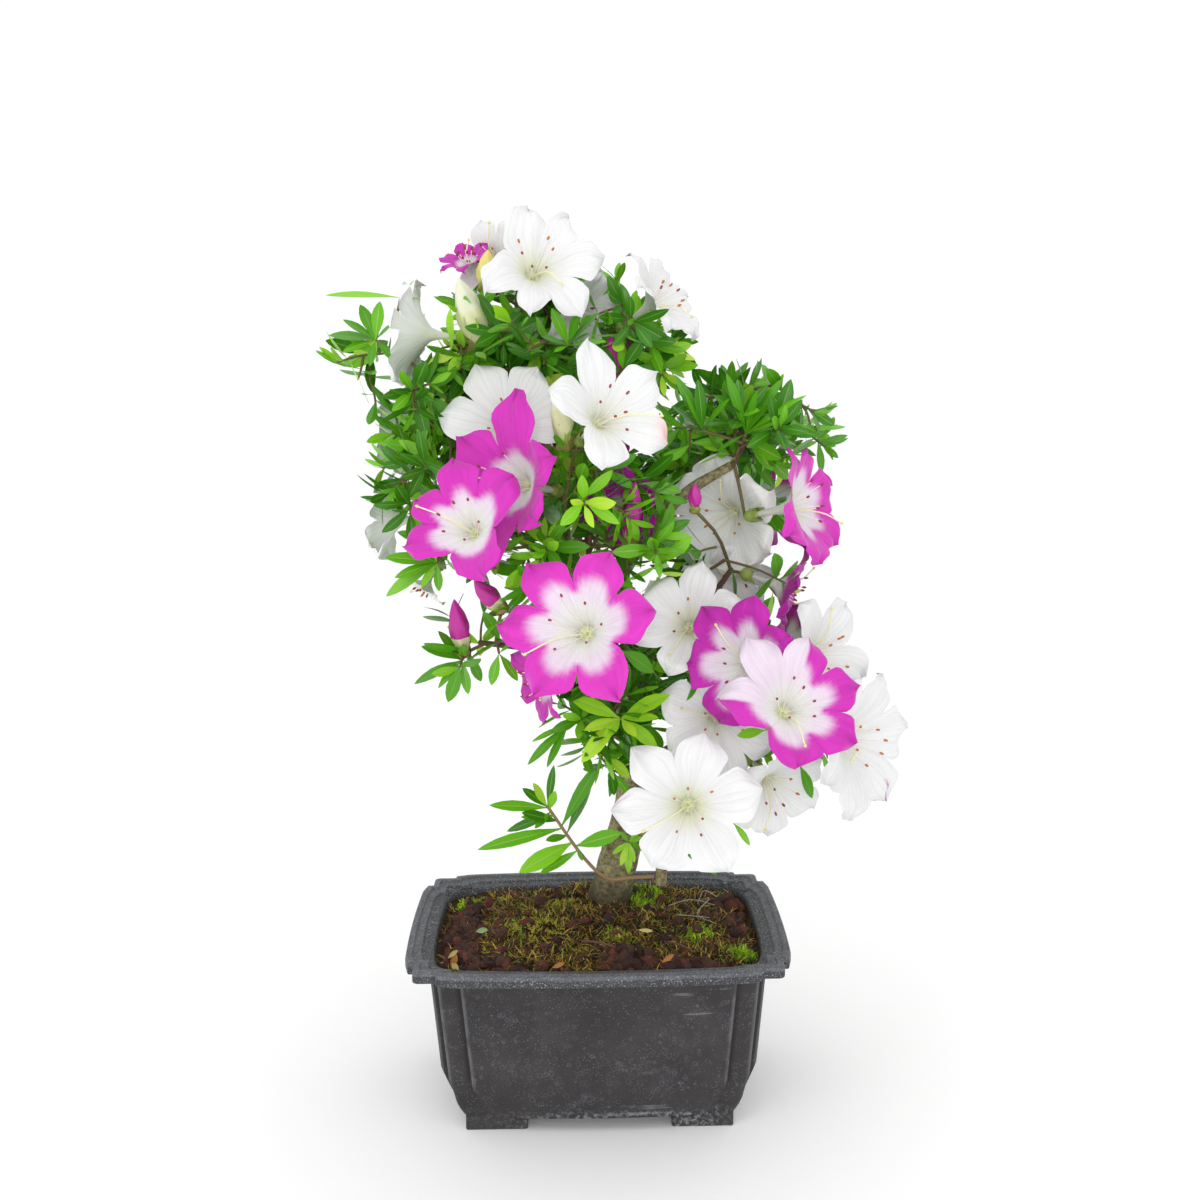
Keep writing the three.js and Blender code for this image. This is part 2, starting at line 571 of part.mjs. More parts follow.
// Where the shoots of a mass end: spread evenly over its space, some of them inside it.
function shootEnds(mass, random) {
  const phase = random() * 2 * Math.PI;
  return Array.from({ length: mass.shoots }, (_, i) => {
    const z = 1 - (2 * (i + 0.5)) / mass.shoots;
    const flat = Math.sqrt(1 - z * z);
    const angle = phase + i * GOLDEN_ANGLE;
    const depth = i % 4 === 3 ? mix(0.15, 0.3, random()) : mix(0.46, 0.62, random());
    const out = new THREE.Vector3(flat * Math.cos(angle), flat * Math.sin(angle), z);
    return out.multiply(vector(mass.reach)).multiplyScalar(depth).add(vector(mass.centre));
  });
}

// Where a twig to the wanted end leaves one that is there: level with it, less a way back,
// so that it points forwards.
function forkOn(branch, end) {
  const line = new THREE.Line3(branch.from, branch.to);
  const level = line.closestPointToPointParameter(end, true);
  const back = (0.35 * line.at(level, new THREE.Vector3()).distanceTo(end)) / line.distance();
  return line.at(THREE.MathUtils.clamp(level - back, 0.2, 0.94), new THREE.Vector3());
}

// Grow a straight twig to the wanted end from the nearest branch that gives a clear way.
function growTwig(mass, branches, pieces, end, radius) {
  const forks = branches.map((branch) => nudge(forkOn(branch, end), NUDGE));
  forks.sort((a, b) => a.distanceTo(end) - b.distanceTo(end));
  for (const from of forks) {
    const solid = makeTwig([from, end], TWIG.root, radius);
    if (!isClear(solid, (other) => other.node === mass.name)) continue;
    const twig = { from, to: end };
    pieces.push(solid);
    remember(mass.name, makeTwig([from, end], TWIG.root + 2 * GAP, radius + 2 * GAP), twig);
    branches.push(twig);
    return twig;
  }
  return null;
}

// The shortest edge of a solid. Joined pieces that all but share a corner leave slivers.
function shortestEdge(solid) {
  const { vertProperties: v, triVerts } = solid.getMesh();
  let shortest = Infinity;
  for (let i = 0; i < triVerts.length; i++) {
    const a = 3 * triVerts[i];
    const b = 3 * triVerts[i % 3 === 2 ? i - 2 : i + 1];
    shortest = Math.min(shortest, Math.hypot(v[a] - v[b], v[a + 1] - v[b + 1], v[a + 2] - v[b + 2]));
  }
  return shortest;
}

// Grows a mass again, nudged otherwise, until it has no slivers.
function growCleanMass(mass, limb, seed) {
  const before = placed.length;
  for (let attempt = 0; attempt < MOST_ATTEMPTS; attempt++) {
    placed.length = before;
    const solid = growMass(mass, limb, seed);
    if (shortestEdge(solid) > SHORTEST_EDGE) return solid;
  }
  throw new Error(`${mass.name} keeps its slivers`);
}

function growMass(mass, limb, seed) {
  const random = stream(seed);
  const own = (each) => each.mass === mass.name;
  const start = limb.tip.clone().addScaledVector(limb.direction, GAP);
  const hub = vector(mass.centre);
  const bend = start.clone().lerp(hub, 0.5).addScaledVector(limb.direction, start.distanceTo(hub) * 0.12);
  const branches = [{ from: start, to: bend }, { from: bend, to: hub }];
  const pieces = [makeTwig([start, bend, hub], TWIG.stem, TWIG.radius, limb.direction)];
  for (const bloom of BLOOMS.filter(own)) {
    const heel = vector(bloom.throat).addScaledVector(
      facing(bloom.turn, bloom.lift), (FUNNEL.heel + 0.04) * bloom.across);
    if (growTwig(mass, branches, pieces, heel, TWIG.stalk)) pieces.push(makeBloom(bloom));
  }
  for (const bud of BUDS.filter(own)) {
    const foot = vector(bud.foot).lerp(vector(bud.tip), 0.1);
    if (growTwig(mass, branches, pieces, foot, TWIG.stalk)) pieces.push(makeBud(bud));
  }
  const ends = shootEnds(mass, random).sort((a, b) => a.distanceTo(start) - b.distanceTo(start));
  const twigs = ends.map((end) => growTwig(mass, branches, pieces, end, TWIG.radius)).filter(Boolean);
  for (const twig of twigs) {
    const lean = twig.to.clone().sub(hub).normalize().add(UP).normalize();
    for (const full of whorl(twig.from, twig.to, lean, LEAF.perWhorl, random)) {
      const leaf = LEAF.fits.map((share) => sized(full, share))
        .find((each) => leafFits(mass, each) && isClear(makeLeaf(each), (other) => other.twig === twig));
      if (!leaf) continue;
      pieces.push(makeLeaf(leaf));
      remember(mass.name, makeLeaf(leaf, GAP), twig);
    }
  }
  return largestBody(wasm.Manifold.union(pieces));
}

function growSprig() {
  const stem = SPRIG.stem.map(vector);
  const pieces = [makeTwig(stem, SPRIG.radii[0], SPRIG.radii[1])];
  const leafLine = stem.slice(-2);
  SPRIG.leafTips.forEach((tip, i) => {
    const share = mix(0.97, 0.05, i / (SPRIG.leafTips.length - 1));
    const root = nudge(leafLine[0].clone().lerp(leafLine[1], share), NUDGE);
    const direction = vector(tip).sub(root);
    const length = direction.length();
    direction.normalize();
    const normal = UP.clone().addScaledVector(direction, -direction.z)
      .add(new THREE.Vector3(0, -0.9, 0)).normalize();
    normal.addScaledVector(direction, -normal.dot(direction)).normalize();
    pieces.push(makeLeaf({ root, direction, normal, length, width: length * 0.28 }));
  });
  return largestBody(wasm.Manifold.union(pieces));
}

// ---- Assembly -----------------------------------------------------------------------

const MATERIALS = {
  pot: new THREE.MeshStandardMaterial({ color: 0x454345, roughness: 0.72, metalness: 0 }),
  soil: new THREE.MeshStandardMaterial({ color: 0x4a3320, roughness: 1, metalness: 0 }),
  bark: new THREE.MeshStandardMaterial({ color: 0x7d6f58, roughness: 0.9, metalness: 0 }),
  foliage: new THREE.MeshStandardMaterial({ color: 0x3f8a2c, roughness: 0.5, metalness: 0 }),
};

const plant = new THREE.Group();

function addPart(name, solid, material) {
  const mesh = new THREE.Mesh(geometryOf(solid), material);
  mesh.name = name;
  plant.add(mesh);
}

const trunk = makeTrunk();
const clearOfTrunk = makeTrunk(GAP + 0.05);
addPart('pot', makePot(), MATERIALS.pot);
addPart('soil', makeSoil(), MATERIALS.soil);
addPart('trunk', trunk, MATERIALS.bark);
remember('trunk', clearOfTrunk);

const limbEnds = new Map([['trunk', lineEnd(trunkLine())]]);
for (const bough of BOUGHS) {
  addPart(bough.name, largestBody(makeBough(bough).subtract(clearOfTrunk)), MATERIALS.bark);
  remember(bough.name, makeBough(bough, GAP));
  limbEnds.set(bough.name, lineEnd(boughLine(bough)));
}

const sprig = growSprig();
addPart(SPRIG.name, sprig, MATERIALS.foliage);
remember(SPRIG.name, sprig);

for (const bloom of BLOOMS) remember(bloom.mass, makeBloom(bloom, GAP));
for (const bud of BUDS) remember(bud.mass, makeBud(bud, GAP));
MASSES.forEach((mass, i) => {
  addPart(mass.name, growCleanMass(mass, limbEnds.get(mass.from), SEED + 977 * i), MATERIALS.foliage);
});

const bounds = new THREE.Box3().setFromObject(plant);
const centre = bounds.getCenter(new THREE.Vector3());
plant.position.set(-centre.x, -centre.y, -bounds.min.z);

export default plant;
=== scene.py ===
"""Potted azalea bonsai: the looks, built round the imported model.

Named values are millimetres in the pot's own frame: x = y = 0 is the middle of the pot and
z = 0 the ground under its feet. They become metres in the row's frame as each mesh is made.
"""

import math

import bpy
import numpy as np
from mathutils import Matrix, Vector
from mathutils.bvhtree import BVHTree


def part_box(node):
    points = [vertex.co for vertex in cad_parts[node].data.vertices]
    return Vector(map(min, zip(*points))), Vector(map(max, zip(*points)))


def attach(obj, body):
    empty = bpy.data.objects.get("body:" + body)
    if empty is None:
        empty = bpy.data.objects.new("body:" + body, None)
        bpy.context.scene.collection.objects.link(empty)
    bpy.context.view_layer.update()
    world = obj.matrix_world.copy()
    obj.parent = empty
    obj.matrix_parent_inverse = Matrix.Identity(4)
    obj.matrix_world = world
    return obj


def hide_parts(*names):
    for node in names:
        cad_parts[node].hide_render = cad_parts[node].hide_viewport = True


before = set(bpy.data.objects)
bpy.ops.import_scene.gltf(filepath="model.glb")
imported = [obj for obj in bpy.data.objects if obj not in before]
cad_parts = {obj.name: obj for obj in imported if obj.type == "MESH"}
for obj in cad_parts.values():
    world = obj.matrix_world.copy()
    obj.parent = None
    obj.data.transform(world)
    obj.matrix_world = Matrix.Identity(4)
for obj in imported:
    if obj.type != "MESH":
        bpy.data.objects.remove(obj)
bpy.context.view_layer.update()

POT_LOW, POT_HIGH = (np.array(corner) * 1000 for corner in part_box("pot"))
SHIFT = np.array([(POT_LOW[0] + POT_HIGH[0]) / 2, (POT_LOW[1] + POT_HIGH[1]) / 2, 0.0])

GAP = 0.3
SEED = 20817
FULL_TURN = 2 * math.pi
GOLDEN = math.pi * (3 - math.sqrt(5))
UP = np.array([0.0, 0.0, 1.0])


# ---- Small helpers -----------------------------------------------------------------

def vec(*values):
    return np.array(values[0] if len(values) == 1 else values, float)


def unit(v):
    return v / np.linalg.norm(v)


def mix(a, b, t):
    return a + (b - a) * t


def smooth(low, high, x):
    t = np.clip((x - low) / (high - low), 0, 1)
    return t * t * (3 - 2 * t)


def stream(seed):
    """The source's small repeatable stream of numbers from 0 to 1."""
    state = [seed]

    def draw():
        state[0] = (state[0] * 1664525 + 1013904223) % 4294967296
        return state[0] / 4294967296
    return draw


def axes(direction):
    """Two directions square to this one and to each other."""
    side = unit(np.cross(UP if abs(direction[2]) < 0.9 else vec(1, 0, 0), direction))
    return side, np.cross(direction, side)


def jitter(random):
    return vec(random() - 0.5, random() - 0.5, random() - 0.5)


def swing(side, other, angle):
    """The direction at an angle from side towards other, for one angle or an array of them."""
    return np.cos(angle)[..., None] * side + np.sin(angle)[..., None] * other


def facing(turn, lift):
    side, rise = math.radians(turn), math.radians(lift)
    return vec(math.sin(side) * math.cos(rise), -math.cos(side) * math.cos(rise), math.sin(rise))


def smooth_line(stations, count):
    """A Catmull-Rom line through the stations, as evenly spaced points."""
    p = [vec(s) for s in stations]
    p = [2 * p[0] - p[1]] + p + [2 * p[-1] - p[-2]]
    out = []
    for i in range(count):
        place = i / (count - 1) * (len(p) - 3)
        k = min(int(place), len(p) - 4)
        t = place - k
        a, b, c, d = p[k:k + 4]
        out.append(0.5 * (2 * b + (c - a) * t + (2 * a - 5 * b + 4 * c - d) * t ** 2
                          + (3 * b - a - 3 * c + d) * t ** 3))
    return np.array(out)


def grid_faces(rows, columns, closed=False):
    r = np.arange(rows - 1)[:, None] * columns
    c = np.arange(columns if closed else columns - 1)[None, :]
    n = (c + 1) % columns
    return np.stack([r + c, r + n, r + columns + n, r + columns + c], -1).reshape(-1, 4)


def wobble(points, scale, seed=0.0):
    """Smooth noise from sums of sines, about -1 to 1, for arrays of points."""
    x, y, z = (points[..., k] / scale + seed * (k + 1.7) for k in range(3))
    return (np.sin(x + 1.3 * np.sin(y * 0.9 + seed)) + np.sin(1.3 * y + 1.1 * np.sin(z * 1.2))
            + np.sin(1.1 * z + 1.2 * np.sin(x * 0.8 + 2.1))) / 3


# ---- The plant's plan, the same as in the part's source ----------------------------

POT = dict(half_width=93.2, half_depth=65, height=88, rim_drop=5.7, body_inset=10, foot_height=8,
           floor=11, wall=3.4)
NOTCH = dict(width=14.5, step=3.0, side_step=3.3, side_width=13)
BULGE = dict(long=4.0, short=2.7)
FOOT = dict(outer_x=65, outer_y=45.5, length=30, depth=22, thick=9, bracket=14, bracket_drop=3)

# The trunk's middle line and its radius.
TRUNK = [
    ((7.5, 19, 92.3), 11.3), ((8.5, 19, 99), 10.2), ((13.5, 18, 123), 9.2), ((20, 17, 150), 8.7),
    ((20, 15, 178), 7.8), ((11, 13, 212), 6.8), ((-2, 12, 245), 5.8), ((-15, 11, 280), 4.7),
    ((-27, 12, 315), 3.6), ((-35, 14, 346), 2.5),
]

# Boughs: middle line, and radius at the foot and the tip.
BOUGHS = {
    "upper_left": ([(-26, 12, 312), (-46, 9, 329), (-60, 5, 339)], 2.9, 1.8),
    "top_right": ([(-12, 11, 272), (5, 9, 318), (13, 6, 352)], 3.2, 1.8),
    "left": ([(-6, 12, 256), (-28, 5, 277), (-46, 0, 289)], 3.6, 2.0),
    "centre": ([(4, 13, 228), (1, -8, 249), (-2, -20, 260)], 3.6, 2.1),
    "left_low": ([(12, 13, 209), (-12, 2, 225), (-30, -10, 231)], 3.2, 1.7),
    "right": ([(0, 12, 240), (26, -4, 286), (44, -13, 306), (64, -13, 318)], 4.0, 2.1),
    "right_mid": ([(11, 11, 212), (34, 5, 235), (50, 1, 247)], 3.8, 2.1),
    "lower_right": ([(21, 16, 160), (45, 8, 178), (60, 0, 186)], 4.2, 2.4),
    "lower_centre": ([(21, 16, 174), (13, -2, 184), (8, -12, 189)], 3.2, 2.0),
    "back_left": ([(-17, 12, 286), (-36, 30, 303), (-48, 40, 312)], 3.2, 1.9),
    "back_top": ([(-29, 12, 322), (-24, 30, 343), (-20, 38, 352)], 2.8, 1.8),
    "back_centre": ([(5, 13, 230), (0, 32, 256), (-2, 44, 268)], 3.4, 2.0),
    "back_right": ([(17, 18, 186), (34, 33, 238), (48, 38, 275)], 3.8, 2.1),
    "back_low": ([(21, 16, 184), (36, 32, 199), (44, 38, 205)], 3.4, 2.1),
    "stub": ([(17, 17, 137), (27, 5, 129), (32, -3, 120), (32, -4, 108)], 3.6, 2.7),
}

# Foliage: centre, reach and shoots. Each mass grows from the bough of its name, and the top
# one from the trunk's tip.
MASSES = {
    "top": ((-35, 2, 384), (42, 44, 40), 8),
    "upper_left": ((-84, 0, 354), (43, 46, 42), 9),
    "top_right": ((18, 4, 378), (33, 38, 32), 6),
    "left": ((-67, -6, 304), (40, 46, 45), 8),
    "centre": ((-2, -40, 290), (48, 42, 54), 10),
    "left_low": ((-55, -18, 236), (33, 26, 28), 4),
    "right": ((72, -4, 334), (44, 46, 30), 8),
    "right_mid": ((66, -4, 268), (44, 44, 34), 7),
    "lower_centre": ((3, -22, 206), (38, 40, 42), 7),
    "lower_right": ((80, -14, 196), (48, 46, 46), 8),
    "back_left": ((-64, 54, 326), (38, 38, 44), 8),
    "back_top": ((-14, 54, 372), (42, 36, 40), 7),
    "back_centre": ((-4, 62, 292), (44, 36, 44), 8),
    "back_right": ((66, 52, 302), (45, 38, 44), 8),
    "back_low": ((56, 50, 220), (46, 36, 40), 7),
}

# The sprig low on the left: its leaves' root on the stem, tip, width as a share of the length,
# and green.
SPRIG = dict(
    stem=[(28.4, -5, 112.6), (16.5, -7, 112.9), (5, -8, 113.3), (-7, -8, 125), (-24, -8, 151)],
    radii=(1.15, 0.75),
    leaves=[(0.97, (-52, -12, 154), 0.22, 2), (0.99, (-21, -5, 171), 0.21, 0),
            (0.7, (-36, -16, 151), 0.3, 0),
            (0.84, (-45, -3, 137), 0.2, 0), (0.6, (1, -10, 173.5), 0.19, 1), (0.45, (-2, -3, 163), 0.17, 0),
            (0.56, (-58, -18, 134), 0.18, 2), (0.28, (-38, -20, 122), 0.31, 3),
            (0.2, (12, -14, 139), 0.34, 2), (0.12, (-28, -13, 118), 0.25, 2),
            (1.0, (-31, -14, 165), 0.3, 5), (0.94, (-20, -12, 160), 0.36, 3),
            (0.98, (-36, -6, 160), 0.32, 0), (0.42, (-25, -13, 135), 0.38, 1),
            (0.16, (-7, -12, 124), 0.3, 1),
            (0.9, (-30, -16, 143), 0.3, 1), (0.8, (-37, -13, 147), 0.26, 2)],
)

# The little shoot on the trunk's front, in the same way.
TRUNK_SHOOT = dict(
    stem=[(14.5, 12, 124), (15.5, 6, 125.5), (16.5, 3, 128)], radii=(0.7, 0.5),
    leaves=[(1.0, (22, 3, 136), 0.36, 3), (0.9, (24, 3, 123), 0.34, 2), (0.95, (23, 1, 131), 0.4, 3),
            (0.8, (8, 2, 122), 0.3, 4), (0.7, (12, 1, 116), 0.3, 5), (0.75, (16, 1, 112), 0.26, 4),
            (0.9, (12, 1, 134), 0.34, 2), (0.85, (19, 0, 118), 0.3, 4)],
)


def flower(mass, at, turn, lift, across, look="white", **more):
    """A bloom by its mass, throat, turn and lift in degrees, width and look. lobes are the angles
    of its lobes round its axis, counted from its right-hand side."""
    return dict(mass=mass, at=vec(at), axis=facing(turn, lift), across=across, look=look, **more)


# Some blooms that sit in shade are given a whiter white: painted light.
BLOOMS = [
    flower("centre", (-4, -75, 252), -18, 24, 70, "edged", pistil=-140,
          lobes=(71, 15, -54, -115, -178, 134), reach=(1, 1.02, 1.04, 0.98, 1, 1)),
    flower("centre", (-52, -62, 294), -24, 30, 58, "edged", notch=0.29, margin=-0.06, pistil=170, deep=0.25,
          lobes=(112, 160, -153, -55, 50), reach=(1.16, 1, 0.98, 1.06, 1)),
    flower("centre", (-29, -45, 313), -42, 12, 66, "edged", margin=-0.2, pistil=178, deep=0.25,
          lobes=(92, 150, 212, 268, 325, 28), reach=(1.2, 1.12, 1, 1.15, 0.9, 0.85)),
    flower("centre", (1, -61, 341), 28, 28, 60, blush=2,
          lobes=(95, 31, -36, -111, 158), reach=(1.1, 1.12, 1, 0.98, 0.95)),
    flower("left", (-38, -8, 335), -8, 16, 60, notch=0.29, ruffle=0.6, pale=1.18, anthers="orange",
          lobes=(172, 118, 62, 5, -60, -120), reach=(1.05, 1.1, 1, 1, 0.9, 0.9)),
    flower("left", (-90, 10, 291), -104, 6, 46, notch=0.33, pale=1.22),
    flower("left", (-80, 10, 262), -64, -52, 27, pale=1.22),
    flower("upper_left", (-72, -7, 379), -102, 6, 54, notch=0.32, pale=1.15),
    flower("top", (-27, -20, 404), 15, 34, 58, notch=0.3, green=1.0, ruffle=1.6,
          lobes=(90, 52, 2, -62, -103, -146), reach=(1.04, 1, 1.08, 1.12, 1.02, 1.02)),
    flower("top", (-43, 12, 410), -42, 24, 44, flecks=((1, 0.1, 0.05),)),
    flower("top", (-9, 6, 392), 34, -22, 42),
    flower("top_right", (25, 0, 390), 62, 34, 52),
    flower("right_mid", (44, -28, 244), -6, 24, 56, green=0.8, pale=1.12, curl=0.09,
          lobes=(132, 78, 22, -33, -110, -167), reach=(1, 1.05, 0.98, 0.95, 0.9, 1.04)),
    flower("lower_right", (71, -54, 232), -32, 10, 60, "edged", notch=0.31, deep=0.75, margin=0.04,
          lobes=(-178, 130, 84, 36, -108), reach=(0.86, 1.08, 1.08, 0.9, 0.95)),
    flower("lower_right", (81, -77, 216), 13, 32, 62, "sector", notch=0.295, pistil=-95, deep=0.35,
          lobes=(117, 66, 10, -38, -98, 172), reach=(1.1, 1.08, 1.06, 1, 0.9, 1.12)),
    flower("lower_right", (97, -33, 231), 46, 16, 58, notch=0.3, anthers="orange", ruffle=1.5),
    flower("lower_right", (111, -40, 194), 45, 4, 66, notch=0.3, anthers="orange", ruffle=1.4,
          flecks=((2, 0.3, 0.04), (3, -0.5, 0.05), (5, 0.2, 0.06)),
          lobes=(58, -2, -63, -110, -155, 115), reach=(1, 1.1, 1.1, 1.08, 1, 0.95)),
    flower("lower_right", (40, -72, 173), -3, 14, 65, notch=0.28, flecks=((5, -0.75, 0.05),), green=0.9,
          pistil=205, lobes=(134, 78, 15, -58, -123, -178), reach=(1.1, 1.04, 1.04, 0.98, 0.98, 1.04)),
    flower("lower_right", (56, -26, 201), 5, 8, 60, notch=0.3, anthers="orange", pale=1.15),
    flower("lower_right", (80, -30, 172), 24, -20, 52, notch=0.31),
    flower("right", (87, -25, 299), 60, 14, 58, "edged", notch=0.3, margin=-0.05, deep=0.15, pistil=-40,
          lobes=(120, 78, 10, -48, -98, -160), reach=(1.12, 0.85, 1, 1.04, 1, 1.1)),
    flower("right_mid", (69, 10, 294), -34, -8, 62, notch=0.31, pale=1.22, anthers="orange", ruffle=1.4),
    flower("right_mid", (84, -12, 262), 78, -18, 46, "edged", deep=0.7, margin=-0.3),
    flower("centre", (11, -12, 299), 4, 8, 42, "edged", deep=1.0, margin=-0.4),
    flower("lower_centre", (-19, -38, 224), -62, -14, 43, "edged", deep=0.5, margin=-0.16),
    flower("back_left", (-60, 86, 336), 192, 20, 62, "edged"),
    flower("back_left", (-84, 56, 328), 236, 14, 56),
    flower("back_top", (-16, 82, 388), 176, 34, 60, green=0.6),
    flower("back_centre", (-2, 94, 302), 182, 12, 64, "edged", deep=0.4),
    flower("back_right", (70, 84, 322), 160, 24, 62),
    flower("back_right", (86, 60, 286), 128, 14, 58, "edged"),
    flower("back_low", (58, 82, 232), 170, 6, 60, green=0.6),
    flower("back_low", (98, 46, 212), 116, 4, 58, "edged", deep=0.5),
    flower("top", (-57, 8, 409), -30, 58, 28, "edged", deep=0.6, margin=-0.25),
    flower("right_mid", (68, 14, 266), 4, -26, 46, pale=1.15),
]

# Buds: mass, foot, tip, thickness and colour.
BUDS = [
    ("upper_left", (-50, -15, 372), (-60, -20, 404), 13, "cream"),
    ("centre", (-13, -46, 330), (-15, -48, 360), 10, "cream"),
    ("left_low", (-62, -20, 231), (-65.5, -24, 258), 9.5, "purple"),
    ("left_low", (-43, -30, 254), (-55, -36, 269), 9, "purple"),
    ("top", (-49, -6, 399), (-47, -8, 417), 9, "yellow"),
    ("top_right", (11, -14, 356), (8, -16, 378), 8, "dark"),
    ("centre", (15, -50, 287), (18, -51, 315), 8, "dark"),
    ("right_mid", (45, -40, 301), (45, -42, 313), 6, "dark"),
]

# Leaves that stand out by themselves: mass, their common root, width as a share of the length,
# green, and their tips.
STRAYS = [
    ("left", (-73, -25, 275.5), 0.34, 2, [
        (-96, -25, 280), (-98, -25, 262), (-75, -27, 287), (-72, -27, 263), (-92, -29, 271),
        (-85, -24, 289),
        (-80, -30, 266)]),
    ("left_low", (-63, -20, 228), 0.3, 1, [
        (-81, -20, 236), (-86, -22, 219), (-75, -22, 216), (-72, -24, 243), (-60, -24, 213)]),
    ("left_low", (-45, -28, 233), 0.34, 1, [(-36, -30, 221), (-38, -31, 240), (-49, -31, 219)]),
    ("upper_left", (-100, -6, 377), 0.36, 1, [
        (-121, -5, 381), (-115, -8, 373), (-106, -5, 393), (-98, -6, 394), (-103, -9, 366), (-90, -10, 368),
        (-113, -9, 387), (-92, -9, 385)]),
    ("upper_left", (-88, -5, 396), 0.16, 2, [(-121, -9, 400), (-82, -8, 404), (-79, -8, 396)]),
    ("centre", (11, -60, 241), 0.62, 0, [(26, -60, 232)]),
    ("lower_centre", (11, -50, 207), 0.36, 4, [
        (-10, -52, 218), (-5, -57, 205), (-8, -54, 189), (32, -50, 219), (27, -56, 210), (28, -54, 195),
        (17, -62, 203), (4, -62, 203)]),
    ("lower_centre", (-13, -35, 200), 0.2, 1, [(-33, -38, 183), (-24, -38, 181), (-30, -37, 194)]),
    ("top", (-11, -30, 374), 0.36, 1, [
        (-17, -34, 390), (-7, -37, 388), (1, -40, 389), (-22, -34, 379), (5, -37, 377), (-3, -40, 380),
        (-17, -34, 372)]),
    ("top", (-29, -34, 372), 0.34, 0, [
        (-36, -38, 384), (-26, -41, 383), (-37, -44, 376), (-22, -38, 372), (-31, -41, 382)]),
    ("right", (69, -30, 334), 0.2, 1, [
        (83, -34, 359), (61, -37, 361), (91, -40, 346), (105, -34, 339), (94, -37, 336), (71, -40, 353),
        (56, -34, 328), (93, -37, 353)]),
    ("right", (49, -34, 336), 0.26, 0, [
        (38, -38, 361), (47, -41, 358), (55, -44, 343), (36, -38, 348), (42, -41, 353), (58, -44, 351)]),
    ("right_mid", (44, -38, 229), 0.6, 0, [(33, -40, 228)]),
    ("right_mid", (48, -38, 224), 0.42, 0, [(41, -40, 213)]),
    ("lower_right", (93, -50, 184), 0.34, 0, [(100, -50, 168)]),
    ("lower_right", (63, -45, 155), 0.3, 2, [(72, -45, 144)]),
    ("lower_right", (40, -40, 139), 0.2, 1, [(57, -40, 128)]),
]

HEEL = -0.3               # the back end of a bloom's funnel, as a share of its width
LEAF = dict(length=22, width=7.2, spacing=1.0, fits=(1, 0.84, 0.7), reach=1.14)
FINE_SHOOTS = 6.0         # fine shoots for each shoot that the source gives a mass
OPENNESS = 0.38           # above this share of the wobble the crown is left open
LAST_GREEN = 6
SPARSE = "left_low"       # the mass with few shoots and few leaves
# Open air: middle and reach.
SKY = [((-124, 0, 338), (17, 60, 26)), ((104, 0, 356), (16, 60, 13)), ((-104, 0, 276), (14, 60, 14))]

# The soil's bed: how far it reaches, the point its rings close in on, its height at the wall,
# and the number of places where something lies on it.
BED = dict(half_width=78, half_depth=50, middle=(2.0, 4.0), at_wall=83.0, spots=4600)

# Patches on the soil, as ellipses: what grows or lies there, middle and half sizes.
PATCHES = [
    ("moss", -69, 36, 8, 9), ("moss", -54, 46, 15, 5), ("feather", 25, 19, 10, 15), ("moss", 62, 46, 16, 6),
    ("moss", 49, -16, 8, 8), ("feather", 70, -33, 9, 7), ("olive", -32, -8, 14, 12),
    ("olive", -12, 13, 12, 8),
    ("olive", 38, 40, 9, 6), ("olive", 8, -20, 8, 6), ("lava", -66, -6, 11, 40), ("lava", -34, 46, 10, 8),
    ("lava", 70, 10, 10, 24), ("lava", 14, -42, 17, 11), ("lava", -48, -44, 20, 9),
    ("lava", 46, -44, 18, 7),
]

# Strands: shortest, longest, least and greatest rise, half width, and how many lie at one place.
STRANDS = dict(moss=(1.2, 3.2, 0.2, 1.0, 0.34, 18), feather=(1.8, 4.6, 0.3, 1.0, 0.26, 18),
               olive=(1.6, 4.2, 0.1, 0.9, 0.3, 10), fibre=(2.6, 8.0, 0.0, 0.7, 0.22, 8))
# Their shades: share and slot.
SHADES = dict(moss=((0.45, 0), (0.75, 1), (0.92, 2), (1, 3)),
              feather=((0.3, 0), (0.75, 1), (0.9, 2), (1, 3)),
              olive=((0.06, 0), (0.2, 1), (0.6, 2), (0.76, 5), (0.9, 4), (1, 3)),
              fibre=((0.42, 3), (0.74, 4), (0.88, 5), (0.97, 2), (1, 1)))


# ---- Meshes ------------------------------------------------------------------------

